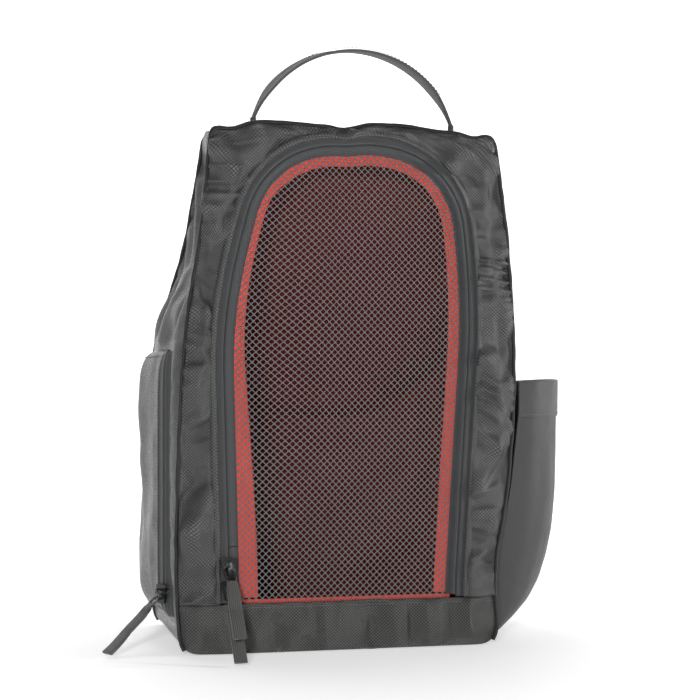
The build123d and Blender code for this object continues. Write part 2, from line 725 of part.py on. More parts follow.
# --- files --------------------------------------------------------------------------------------
os.makedirs("parts", exist_ok=True)
PIECES = {
    "front_frame": front_frame,
    "front_band": front_band,
    "front_lining": front_lining,
    "band_binding": band_binding,
    "frame_zip_tape": frame_zip_tape,
    "frame_zip_coil": frame_zip_coil,
    "flap_zip_tape": flap_zip_tape,
    "flap_zip_coil": flap_zip_coil,
    "mesh_window": mesh_window,
    "window_binding": window_binding,
    "left_gusset": left_gusset,
    "right_gusset": right_gusset,
    "top_panel": top_panel,
    "base_panel": base_panel,
    "back_panel": back_panel,
    "left_lining": left_lining,
    "right_lining": right_lining,
    "top_lining": top_lining,
    "back_lining": back_lining,
    "base_board": base_board,
    "base_lining": base_lining,
    "front_piping": front_piping,
    "back_piping": back_piping,
    "bottle_pocket": bottle_pocket,
    "bottle_pocket_hem": bottle_pocket_hem,
    "zip_pocket_panel": zip_pocket_panel,
    "pocket_zip_front_tape": pocket_zip_front_tape,
    "pocket_zip_back_tape": pocket_zip_back_tape,
    "pocket_zip_coils": pocket_zip_coils,
    "upper_slider": upper_slider,
    "lower_slider": lower_slider,
    "pocket_slider": pocket_slider,
    "upper_pull": upper_pull,
    "lower_pull": lower_pull,
    "pocket_pull": pocket_pull,
    "upper_pull_tab": upper_pull_tab,
    "lower_pull_tab": lower_pull_tab,
    "pocket_pull_tab": pocket_pull_tab,
    "handle": handle,
    "handle_anchors": handle_anchors,
}
for name, piece in PIECES.items():
    piece.part.label = name
    export_step(piece.part, f"parts/{name}.step")
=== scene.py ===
import json
import math

import bpy
import numpy as np
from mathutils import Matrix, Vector, noise


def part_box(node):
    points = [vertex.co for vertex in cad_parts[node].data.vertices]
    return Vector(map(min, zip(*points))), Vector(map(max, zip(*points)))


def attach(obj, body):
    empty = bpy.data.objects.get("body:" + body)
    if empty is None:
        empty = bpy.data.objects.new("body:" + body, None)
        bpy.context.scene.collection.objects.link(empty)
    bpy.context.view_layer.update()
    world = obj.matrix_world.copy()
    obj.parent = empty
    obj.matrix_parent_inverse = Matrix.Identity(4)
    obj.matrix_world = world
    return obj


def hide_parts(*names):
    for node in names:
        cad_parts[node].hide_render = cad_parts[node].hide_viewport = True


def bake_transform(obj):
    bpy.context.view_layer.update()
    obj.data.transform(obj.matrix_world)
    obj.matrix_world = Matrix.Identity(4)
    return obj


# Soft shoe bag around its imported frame. Metres; the front faces -Y and +X is the bottle pocket's side.
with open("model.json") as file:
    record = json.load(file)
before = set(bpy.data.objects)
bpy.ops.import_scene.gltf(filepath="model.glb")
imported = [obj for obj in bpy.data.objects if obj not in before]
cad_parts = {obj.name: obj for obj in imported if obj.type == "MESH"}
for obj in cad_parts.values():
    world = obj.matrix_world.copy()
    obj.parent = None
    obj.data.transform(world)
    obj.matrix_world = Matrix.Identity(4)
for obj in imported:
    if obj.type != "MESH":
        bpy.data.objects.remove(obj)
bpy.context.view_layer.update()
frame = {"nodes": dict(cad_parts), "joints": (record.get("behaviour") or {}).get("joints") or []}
JOINTS = {joint["name"]: joint for joint in frame["joints"]}

# --- driving dimensions -------------------------------------------------------------------------
BASE_HALF = 0.116
BASE_CORNER = 0.012
MIDDLE = (0.120, 0.170)
SHOULDER = (0.106, 0.350)
CORNER = (0.098, 0.363)
RIDGE = (0.076, 0.372)
CROWN = 0.374
BAND_TOP = 0.035
FRONT_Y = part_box("front_frame")[0].y
LEAN = 10 / 372
BACK_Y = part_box("back_panel")[1].y
BACK_BEND = 0.190
BACK_TOP_Y = -0.038
SIDE_BULGE = 0.006
SLOUCH = 0.0125
SLOUCH_FROM, SLOUCH_RISE = 0.045, 0.26
CORNER_OUT, CORNER_UP = 0.0036, 0.0066
BUCKLE = 0.0032

ZIP_LEG = ((0.082, 0.036), (0.0855, 0.200))
ZIP_CORNER = ((0.077, 0.308), (0.026, 0.358))
ZIP_CROWN = 0.360
TAPE = 0.0065
TAPE_DEPTH = 0.0006
ZIP_FOOT = 0.0352
FLAP_FOOT = 0.0375
GARAGE_TOP = 0.075

CELLS_WIDE = 44
CELLS_BAND = 7
CELLS_TALL = 66
CELLS_DEEP = 28
CELLS_FRAME = 8

BOTTLE_MOUTH = 0.192
BOTTLE_HALF_DEPTH = 0.062
BOTTLE_BULGE = 0.062
BOTTLE_HEM = 0.027

POCKET_LOW = 0.022
POCKET_HIGH = 0.214
POCKET_BACK = 0.058

HANDLE_Y = (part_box("handle")[0].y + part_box("handle")[1].y) / 2
HANDLE_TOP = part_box("handle")[1].z
HANDLE_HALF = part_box("handle")[1].x
HANDLE_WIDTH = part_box("handle")[1].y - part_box("handle")[0].y


# --- curves and grids ---------------------------------------------------------------------------
def arc(a, b, c, count):
    """Points on the circle through a, b and c, from a to c."""
    a, b, c = (np.array(p, float) for p in (a, b, c))
    turn = 2 * np.array([b - a, c - a])
    centre = np.linalg.solve(turn, [b @ b - a @ a, c @ c - a @ a])
    start, middle, end = (math.atan2(*(p - centre)[::-1]) for p in (a, b, c))
    sweep = (end - start) % math.tau
    if (middle - start) % math.tau > sweep:
        sweep -= math.tau
    at = start + sweep * np.linspace(0, 1, count)
    radius = np.linalg.norm(a - centre)
    return centre + radius * np.stack([np.cos(at), np.sin(at)], 1)


def turned(v, angle):
    """A flat vector turned by an angle, or by each of several."""
    cos, sin = np.cos(angle), np.sin(angle)
    return np.stack([v[0] * cos - v[1] * sin, v[0] * sin + v[1] * cos], -1)


def tangent_arc(a, direction, b, count):
    """Points from a to b on the circle that leaves a in a direction, and the direction at b."""
    a, b = np.array(a, float), np.array(b, float)
    direction = np.array(direction, float) / np.linalg.norm(direction)
    chord = (b - a) / np.linalg.norm(b - a)
    half = math.atan2(direction[0] * chord[1] - direction[1] * chord[0], direction @ chord)
    if abs(half) < 1e-6:
        return np.linspace(a, b, count), direction
    length = np.linalg.norm(b - a)
    radius = length / 2 / math.sin(half)
    normal = np.array([-direction[1], direction[0]])
    centre = a + normal * radius
    at = np.linspace(0, 2 * half, count)
    spoke = a - centre
    return centre + turned(spoke, at), turned(direction, 2 * half)


def joined(*runs):
    """Several runs of points as one line, without the points that meet."""
    line = [runs[0]]
    for run in runs[1:]:
        line.append(run[1:] if np.linalg.norm(run[0] - line[-1][-1]) < 1e-6 else run)
    return np.concatenate(line)


def along(line):
    """How far along a line each of its points is."""
    return np.concatenate([[0], np.cumsum(np.linalg.norm(np.diff(line, axis=0), axis=1))])


def spaced(line, cells):
    """A line again, in that many equal cells."""
    at = along(line)
    want = np.linspace(0, at[-1], cells + 1)
    return np.stack([np.interp(want, at, line[:, k]) for k in range(line.shape[1])], 1)


def point_at(line, at, far):
    """The point a distance along a line, whose own points lie at the distances at."""
    return [np.interp(far, at, line[:, k]) for k in range(3)]


def smooth_step(x, low, high):
    t = np.clip((x - low) / (high - low), 0, 1)
    return t * t * (3 - 2 * t)


def between(x, low, high):
    """1 between two soft edges, each given as where it starts and where it ends, and 0 outside them."""
    return smooth_step(x, *low) * (1 - smooth_step(x, *high))


def hump(x, centre, width):
    return np.exp(-(((x - centre) / width) ** 2))


def front_y(z):
    return FRONT_Y + LEAN * z


def back_y(z):
    slope = (BACK_Y - BACK_TOP_Y) / (CROWN - BACK_BEND)
    return BACK_Y - slope * np.maximum(z - BACK_BEND, 0)


def outline_half():
    """The right half of the bag's outline, bottom middle to crown, as its four stretches."""
    base = np.linspace((0, 0), (BASE_HALF - BASE_CORNER, 0), 40)
    corner, _ = tangent_arc(base[-1], (1, 0), (BASE_HALF, BASE_CORNER), 24)
    side = arc(corner[-1], MIDDLE, SHOULDER, 160)
    shoulder, _ = tangent_arc(SHOULDER, side[-1] - side[-2], CORNER, 14)
    slope = np.linspace(CORNER, RIDGE, 12)
    crown = arc(RIDGE, (RIDGE[0] / 2, CROWN - 0.0005), (0, CROWN), 30)
    half = len(corner) // 2
    bottom = joined(base, corner[: half + 1])
    flank = joined(corner[half:], side, shoulder)
    return bottom, flank, joined(slope, crown)


def arch_half(inset):
    """The right half of the zip's arch, drawn in by an inset, from its foot to its crown."""
    (x0, z0), (x1, z1) = ZIP_LEG
    (x2, z2), (x3, z3) = ZIP_CORNER
    count = 120
    leg = np.linspace((x0 - inset, z0), (x1 - inset, z1), count)
    side, way = tangent_arc(leg[-1], leg[1] - leg[0], (x2 - inset, z2), count)
    corner, way = tangent_arc(side[-1], way, (x3, z3 - inset), count)
    crown, _ = tangent_arc(corner[-1], way, (0, ZIP_CROWN - inset), count // 2)
    return leg, side, corner, crown


def arch(inset):
    """The whole arch from its left foot, over the crown, to its right foot, as (x, z)."""
    half = joined(*arch_half(inset))
    left = half * (-1, 1)
    return joined(left, half[::-1])


def ridge_wave(x):
    """How the top seam rises and dips along its length."""
    return 0.0013 * np.sin(x * 70 - 1.0) - 0.0030 * hump(x, 0.004, 0.009)


def slouch(points):
    """Where the cut shape's points lie on the standing bag: it leans to its right as it rises.

    The zips keep their places over their sliders' travel, so the left leg leans only above it.
    """
    p = np.array(points, float).reshape(-1, 3).copy()
    x, y, z = p.T
    lean = SLOUCH * np.clip((z - SLOUCH_FROM) / SLOUCH_RISE, 0, 1) ** 1.05
    above = 0.78 * smooth_step(z, 0.190, 0.345)
    by_zip = between(x, (-0.113, -0.095), (-0.070, -0.020))
    by_pocket = (1 - smooth_step(x, -0.095, -0.070)) * smooth_step(y, -0.078, -0.056)
    kept = np.maximum(by_zip * (1 - above), by_pocket * (1 - smooth_step(z, 0.200, 0.290)))
    edge = smooth_step(x, 0.088, 0.116) * (1 - smooth_step(y, -0.02, 0.07))
    bulge = 0.0040 * hump(z, 0.200, 0.085) - 0.0065 * hump(z, 0.050, 0.040)
    corner = hump(abs(x), CORNER[0], 0.008) * hump(z, CORNER[1], 0.008)
    p[:, 0] = x + lean * (1 - kept) + edge * bulge + np.sign(x) * CORNER_OUT * corner
    p[:, 2] = z + CORNER_UP * corner + ridge_wave(x) * smooth_step(z, 0.352, 0.372)
    return p.reshape(np.shape(points))


# --- making meshes ------------------------------------------------------------------------------
def make(name, points, faces, flat=None):
    """A mesh object; flat gives each point's place on the cloth it was cut from, in metres."""
    mesh = bpy.data.meshes.new(name)
    mesh.from_pydata([tuple(map(float, p)) for p in points], [], [tuple(map(int, f)) for f in faces])
    if flat is not None:
        layer = mesh.uv_layers.new(name="Flat")
        index = np.zeros(len(mesh.loops), np.int32)
        mesh.loops.foreach_get("vertex_index", index)
        layer.data.foreach_set("uv", np.array(flat, np.float32)[index].ravel())
    mesh.polygons.foreach_set("use_smooth", [True] * len(mesh.polygons))
    mesh.update()
    piece = bpy.data.objects.new(name, mesh)
    bpy.context.scene.collection.objects.link(piece)
    return piece


def grid_faces(rows, columns, closed=False, flip=False):
    """The quads of a grid of points stored row by row; closed joins the last column to the first."""
    faces = []
    for i in range(rows - 1):
        for j in range(columns if closed else columns - 1):
            k = (j + 1) % columns
            quad = [i * columns + j, i * columns + k, (i + 1) * columns + k, (i + 1) * columns + j]
            faces.append(quad[::-1] if flip else quad)
    return faces


def grid(name, points, flat, closed=False, flip=False):
    """A sheet from points[row][column], with each one's place on the flat cloth."""
    faces = grid_faces(*points.shape[:2], closed, flip)
    return make(name, points.reshape(-1, 3), faces, flat.reshape(-1, 2))


def flat_of(points):
    """A grid's places on its flat cloth: how far each point is along its row and column."""
    rows, columns = points.shape[:2]
    across = np.zeros((rows, columns))
    down = np.zeros((rows, columns))
    across[:, 1:] = np.cumsum(np.linalg.norm(np.diff(points, axis=1), axis=2), axis=1)
    down[1:] = np.cumsum(np.linalg.norm(np.diff(points, axis=0), axis=2), axis=0)
    return np.stack([across, down], 2)


def modify(piece, kind, **values):
    step = piece.modifiers.new(kind.title(), kind)
    for key, value in values.items():
        setattr(step, key, value)
    return step


def thicken(piece, depth):
    return modify(piece, "SOLIDIFY", thickness=depth, offset=-1.0, use_even_offset=False)


def finer(piece, levels=1):
    return modify(piece, "SUBSURF", levels=levels, render_levels=levels, boundary_smooth="PRESERVE_CORNERS")


def merge(pieces, name):
    """Several meshes as one, with their flat places."""
    points, faces, flats = [], [], []
    for points_, faces_, flat_ in pieces:
        start = len(points)
        points.extend(points_)
        faces.extend([[start + q for q in f] for f in faces_])
        flats.extend(flat_ if flat_ is not None else [(0, 0)] * len(points_))
    return make(name, points, faces, flats)


def frame_along(line, up):
    """At each point of a line: its direction, its sideways and its outward direction."""
    way = np.gradient(line, axis=0)
    way /= np.linalg.norm(way, axis=1)[:, None]
    up = np.broadcast_to(np.array(up, float), line.shape)
    side = np.cross(way, up)
    side /= np.linalg.norm(side, axis=1)[:, None]
    return way, side, np.cross(side, way)


def swept(line, profile, up):
    """A profile's (sideways, outward) points carried along a line, as points[row][column]."""
    _, side, out = frame_along(line, up)
    profile = np.array(profile, float)
    return line[:, None] + side[:, None] * profile[None, :, :1] + out[:, None] * profile[None, :, 1:]


def circle(sides):
    """The cosine and sine of each of a ring's points."""
    return [(math.cos(math.tau * k / sides), math.sin(math.tau * k / sides)) for k in range(sides)]


def capped(rows, sides):
    """The faces of a closed-ended tube of points stored ring by ring."""
    last = (rows - 1) * sides
    ends = [list(range(sides)), [last + k for k in range(sides)][::-1]]
    return grid_faces(rows, sides, closed=True) + ends


def tube(line, radius, sides=10, up=(0, -1, 0)):
    """Points, faces and flat places of a closed-ended tube along a line."""
    ring = np.array(circle(sides))
    radius = np.broadcast_to(np.asarray(radius, float), (len(line),))
    _, side, out = frame_along(line, up)
    spokes = side[:, None] * ring[None, :, :1] + out[:, None] * ring[None, :, 1:]
    points = line[:, None] + radius[:, None, None] * spokes
    where = along(line)
    flat = [(k * math.tau * radius[i] / sides, where[i]) for i in range(len(line)) for k in range(sides)]
    return points.reshape(-1, 3), capped(len(line), sides), flat


# A stitch's rings: how far along it, how high in its own radius, and how thick.
STITCH_STEPS = ((0.0, -0.6, 0.5), (0.18, 0.35, 0.9), (0.5, 0.6, 1.0), (0.82, 0.35, 0.9), (1.0, -0.6, 0.5))
STITCH_SIDES = 6
STITCH_LEAD = 0.0004


def stitch(a, b, out, radius):
    """One stitch from a to b: a short thread that rises out of the cloth and goes back in."""
    a, b, out = Vector(a), Vector(b), Vector(out).normalized()
    side = (b - a).cross(out).normalized()
    points = []
    for share, rise, size in STITCH_STEPS:
        centre = a.lerp(b, share) + out * rise * radius
        points += [centre + (side * c + out * s) * radius * size for c, s in circle(STITCH_SIDES)]
    return [tuple(p) for p in points], capped(len(STITCH_STEPS), STITCH_SIDES), None


def stitch_row(line, out, pitch=0.0034, length=0.0024, radius=0.00026):
    """A row of stitches along a line that lies on the cloth; out is outward at each point."""
    at = along(line)
    outward = np.broadcast_to(np.array(out, float), line.shape)
    rows = []
    for k in range(int(at[-1] / pitch)):
        start = k * pitch + STITCH_LEAD
        ends = (point_at(line, at, start), point_at(line, at, start + length))
        rows.append(stitch(*ends, point_at(outward, at, k * pitch), radius))
    return rows


# --- materials ----------------------------------------------------------------------------------
class Shader:
    """A material whose nodes are added one by one."""

    def __init__(self, name, **constants):
        self.material = bpy.data.materials.new(name)
        self.material.use_nodes = True
        self.tree = self.material.node_tree
        self.surface = self.tree.nodes["Principled BSDF"]
        for key, value in constants.items():
            self.surface.inputs[key.replace("_", " ")].default_value = value

    def node(self, kind, **values):
        made = self.tree.nodes.new("ShaderNode" + kind)
        for key, value in values.items():
            setattr(made, key, value)
        return made

    def link(self, a, b):
        self.tree.links.new(a, b)

    def put(self, socket, value):
        if isinstance(value, bpy.types.NodeSocket):
            self.link(value, socket)
        else:
            socket.default_value = value

    def math(self, operation, a, b=0.0, c=0.0):
        made = self.node("Math", operation=operation)
        for socket, value in zip(made.inputs, (a, b, c)):
            self.put(socket, value)
        return made.outputs[0]

    def flat(self):
        """The cloth's own coordinates, in metres."""
        split = self.node("SeparateXYZ")
        self.link(self.node("UVMap", uv_map="Flat").outputs[0], split.inputs[0])
        return split.outputs[0], split.outputs[1]

    def place(self):
        return self.node("TexCoord").outputs["Object"]

    def noise(self, scale, detail=3.0, stretch=None):
        made = self.node("TexNoise")
        made.inputs["Scale"].default_value = scale
        made.inputs["Detail"].default_value = detail
        where = self.place()
        if stretch:
            mapping = self.node("Mapping")
            mapping.inputs["Scale"].default_value = stretch
            self.link(where, mapping.inputs[0])
            where = mapping.outputs[0]
        self.link(where, made.inputs["Vector"])
        return made.outputs[0]

    def ramp(self, factor, low, high, out_low=0.0, out_high=1.0):
        made = self.node("MapRange", interpolation_type="SMOOTHSTEP")
        for socket, value in zip(made.inputs, (factor, low, high, out_low, out_high)):
            self.put(socket, value)
        return made.outputs[0]

    def mix(self, factor, a, b):
        made = self.node("Mix", data_type="RGBA")
        self.put(made.inputs[0], factor)
        self.put(made.inputs[6], a)
        self.put(made.inputs[7], b)
        return made.outputs[2]

    def bump(self, height, distance, strength=1.0, normal=None):
        made = self.node("Bump")
        made.inputs["Strength"].default_value = strength
        made.inputs["Distance"].default_value = distance
        self.link(height, made.inputs["Height"])
        if normal is not None:
            self.link(normal, made.inputs["Normal"])
        return made.outputs[0]

    def total(self, *parts):
        """The sum of each factor times its weight."""
        shares = [self.math("MULTIPLY", factor, weight) for factor, weight in parts]
        made = shares[0]
        for share in shares[1:]:
            made = self.math("ADD", made, share)
        return made

    def finished(self, colour, roughness, normal):
        for name, value in (("Base Color", colour), ("Roughness", roughness), ("Normal", normal)):
            self.put(self.surface.inputs[name], value)
        return self.material


def grey(level, tint=(1.0, 1.0, 1.0)):
    return (level * tint[0], level * tint[1], level * tint[2], 1.0)


def wave(shader, coordinate, pitch):
    """A triangle wave from 0 to 1 along a coordinate."""
    return shader.math("DIVIDE", shader.math("PINGPONG", coordinate, pitch / 2), pitch / 2)


def dobby(name, dark, light, pitch=0.0023, rough=0.55, sheen=0.25, relief=0.00034, tint=(1, 1, 0.985)):
    """Charcoal polyester with a small woven diamond, fine threads, and a broad blotchy cloud in its colour:
    partly uneven tone, partly painted shade standing in for the light and dark of folds.
    """
    s = Shader(name, Sheen_Weight=sheen, Sheen_Roughness=0.42, Specular_IOR_Level=0.5)
    u, v = s.flat()
    diamond = s.math("ADD", wave(s, u, pitch), wave(s, v, pitch))
    raised = s.ramp(s.math("ABSOLUTE", s.math("SUBTRACT", diamond, 1.0)), 0.20, 0.48)
    threads = s.math("MULTIPLY", wave(s, u, 0.00042), wave(s, v, 0.00042))
    # The 38-scale noise cloud paints broad light and dark patches into the colour: painted fold shade as
    # well as uneven tone.
    shade = s.total((raised, 0.74), (s.noise(38.0, 4.0), 0.28), (s.noise(900.0, 2.0), 0.16))
    colour = s.mix(s.math("SUBTRACT", shade, 0.12), grey(dark, tint), grey(light, tint))
    gloss = s.math("ADD", s.math("MULTIPLY", s.math("SUBTRACT", s.noise(60.0), 0.5), 0.22), rough)
    roughness = s.math("SUBTRACT", gloss, s.math("MULTIPLY", raised, 0.08))
    height = s.math("ADD", raised, s.math("MULTIPLY", threads, 0.35))
    crease = s.bump(s.noise(95.0, 3.0), 0.0016, 0.35)
    return s.finished(colour, roughness, s.bump(height, relief, 0.9, crease))


def plain_weave(name, dark, light, pitch=0.0007, rough=0.7, sheen=0.3, tint=(1, 1, 1)):
    """A plain woven cloth: over-and-under threads with slubs."""
    s = Shader(name, Sheen_Weight=sheen, Sheen_Roughness=0.5, Specular_IOR_Level=0.3)
    u, v = s.flat()
    over = s.math("MULTIPLY", wave(s, u, pitch), wave(s, v, pitch))
    slub = s.noise(240.0, 3.0, stretch=(1.0, 1.0, 0.2))
    cloud = s.noise(26.0, 3.0)
    shade = s.total((over, 0.5), (slub, 0.3), (cloud, 0.3))
    crease = s.bump(s.noise(80.0, 3.0), 0.0018, 0.4)
    return s.finished(
        s.mix(shade, grey(dark, tint), grey(light, tint)),
        s.ramp(cloud, 0.3, 0.7, rough - 0.06, rough + 0.08),
        s.bump(s.math("ADD", over, slub), 0.00018, 0.8, crease),
    )


WEB_TINT = (1, 1, 0.97)


def webbing_cloth(name, dark, light, rib=0.0011, cross=0.0018):
    """Ribbed webbing with heavy cross threads and a herringbone of light flecks."""
    s = Shader(name, Sheen_Weight=0.1, Sheen_Roughness=0.4, Specular_IOR_Level=0.35)
    u, v = s.flat()
    slant = s.math("ADD", v, s.math("MULTIPLY", wave(s, u, 2 * cross), cross))
    over = s.math("MULTIPLY", wave(s, u, rib), wave(s, slant, cross))
    fleck = s.noise(1400.0, 2.0)
    return s.finished(
        s.mix(s.total((over, 0.75), (fleck, 0.35)), grey(dark, WEB_TINT), grey(light, WEB_TINT)),
        s.ramp(fleck, 0.3, 0.7, 0.5, 0.72),
        s.bump(over, 0.00035, 1.0),
    )


def zip_cloth(name, dark, light, tint=(0.96, 1.0, 1.04)):
    """Zip tape: a smooth narrow-ribbed weave that runs along the zip."""
    s = Shader(name, Sheen_Weight=0.06, Sheen_Roughness=0.45, Specular_IOR_Level=0.4)
    u, v = s.flat()
    ribs, picks = wave(s, u, 0.0009), wave(s, v, 0.0006)
    cloud = s.noise(50.0, 3.0)
    shade = s.total((ribs, 0.45), (cloud, 0.4), (picks, 0.15))
    return s.finished(
        s.mix(shade, grey(dark, tint), grey(light, tint)),
        s.ramp(cloud, 0.3, 0.7, 0.46, 0.6),
        s.bump(s.math("ADD", ribs, picks), 0.00016, 0.8),
    )


def enamel(name):
    """Black enamelled zinc, glossy, with the enamel's slight unevenness and rubbed edges."""
    s = Shader(name, Coat_Weight=0.15, Coat_Roughness=0.2, Specular_IOR_Level=0.32)
    worn = s.ramp(s.node("NewGeometry").outputs["Pointiness"], 0.53, 0.60)
    worn = s.math("MULTIPLY", worn, s.ramp(s.noise(420.0, 4.0), 0.45, 0.62))
    return s.finished(
        s.mix(worn, grey(0.008), grey(0.14)),
        s.ramp(s.noise(260.0, 3.0), 0.2, 0.8, 0.26, 0.42),
        s.bump(s.noise(700.0, 2.0), 0.00008, 0.5),
    )


def thread(name, level):
    """Twisted sewing thread."""
    s = Shader(name, Sheen_Weight=0.3, Specular_IOR_Level=0.4)
    twist = s.noise(2600.0, 2.0)
    return s.finished(s.mix(twist, grey(level * 0.7), grey(level * 1.35)), 0.55, s.bump(twist, 0.0001, 0.7))


def board_surface(name):
    """Dense fibreboard."""
    s = Shader(name)
    fibre = s.noise(300.0, 4.0, stretch=(1, 4, 1))
    return s.finished(s.mix(fibre, grey(0.02), grey(0.06)), 0.8, s.bump(fibre, 0.0002, 0.6))


SHELL = dobby("shell_cloth", 0.001, 0.135, rough=0.34, sheen=0.02)
BAND = dobby("band_cloth", 0.001, 0.100, rough=0.38, sheen=0.03, tint=(1.0, 0.98, 0.94))
FINE = {"pitch": 0.0012, "sheen": 0.08}
POCKET = dobby("pocket_cloth", 0.026, 0.052, relief=0.00008, rough=0.55, tint=(1, 1, 1), **FINE)
HEM_CLOTH = dobby("hem_cloth", 0.034, 0.062, relief=0.0001, rough=0.52, tint=(1, 1, 1.01), **FINE)
PIPING_CLOTH = plain_weave("piping_cloth", 0.006, 0.020, pitch=0.0008, rough=0.42, sheen=0.05)
# The lining's red is kept much darker than the cloth's own orange-red: painted shade for the bag's dim
# inside.
LINING = plain_weave("lining_cloth", 0.55, 0.95, tint=(0.19, 0.021, 0.012), rough=0.7, sheen=0.04)
RED_TINT = (0.90, 0.085, 0.056)
RED = plain_weave("binding_cloth", 0.50, 1.10, pitch=0.0011, tint=RED_TINT, rough=0.6, sheen=0.05)
MESH = plain_weave("mesh_yarn", 0.08, 0.22, pitch=0.0005, tint=(1.0, 0.90, 0.93), rough=0.5, sheen=0.04)
ZIP = zip_cloth("zip_cloth", 0.026, 0.072)
COIL = zip_cloth("coil_nylon", 0.012, 0.032, tint=(0.98, 1.0, 1.02))
WEBBING = webbing_cloth("webbing_cloth", 0.026, 0.13)
TAB_WEB = webbing_cloth("tab_webbing", 0.020, 0.21, rib=0.0013, cross=0.0016)
METAL = enamel("black_enamel")
THREAD = thread("grey_thread", 0.07)
LIGHT_THREAD = thread("light_thread", 0.085)
BOARD = board_surface("fibreboard")


def dress(piece, material):
    piece.data.materials.clear()
    piece.data.materials.append(material)
    return piece


# --- the shell: one cloth, sewn along its seams -------------------------------------------------
def setback(x, z):
    """How far the front seam lies behind the front face, where the frame turns to the sides."""
    right = 0.007 * smooth_step(x, 0.08, 0.115) * smooth_step(z, 0.03, 0.10)
    left = 0.003 * smooth_step(-x, 0.08, 0.115)
    top = 0.004 * smooth_step(z, 0.352, 0.372)
    return right + left + top + 0.004 * (1 - smooth_step(z, 0.0, 0.02))


def ring_points():
    """The seam line round the bag's outline, as (x, z): base, right, crown and left, each in its cells."""
    bottom, flank, top = outline_half()
    half_base = spaced(bottom, CELLS_WIDE // 2)
    cut = int(np.argmin(abs(flank[:, 1] - BAND_TOP)))
    low, high = spaced(flank[: cut + 1], CELLS_BAND), spaced(flank[cut:], CELLS_TALL)
    low[-1, 1] = high[0, 1] = BAND_TOP
    half_top = spaced(top, CELLS_WIDE // 2)
    right = np.concatenate([half_base[:-1], low[:-1], high[:-1], half_top])
    left = right[::-1] * (-1, 1)
    return np.concatenate([right[:-1], left[:-1]])


def coons(bottom, top, left, right):
    """Points between four edges: bottom and top run left to right, left and right run upward."""
    across = np.linspace(0, 1, len(bottom))[None, :, None]
    up = np.linspace(0, 1, len(left))[:, None, None]
    ruled = (1 - up) * bottom[None] + up * top[None] + (1 - across) * left[:, None] + across * right[:, None]
    corners = (
        (1 - up) * ((1 - across) * bottom[0] + across * bottom[-1])
        + up * ((1 - across) * top[0] + across * top[-1])
    )
    return ruled - corners


def cells(index):
    """The quads of a grid of point numbers."""
    rows, columns = index.shape
    return [
        (index[i, j], index[i, j + 1], index[i + 1, j + 1], index[i + 1, j])
        for i in range(rows - 1)
        for j in range(columns - 1)
    ]


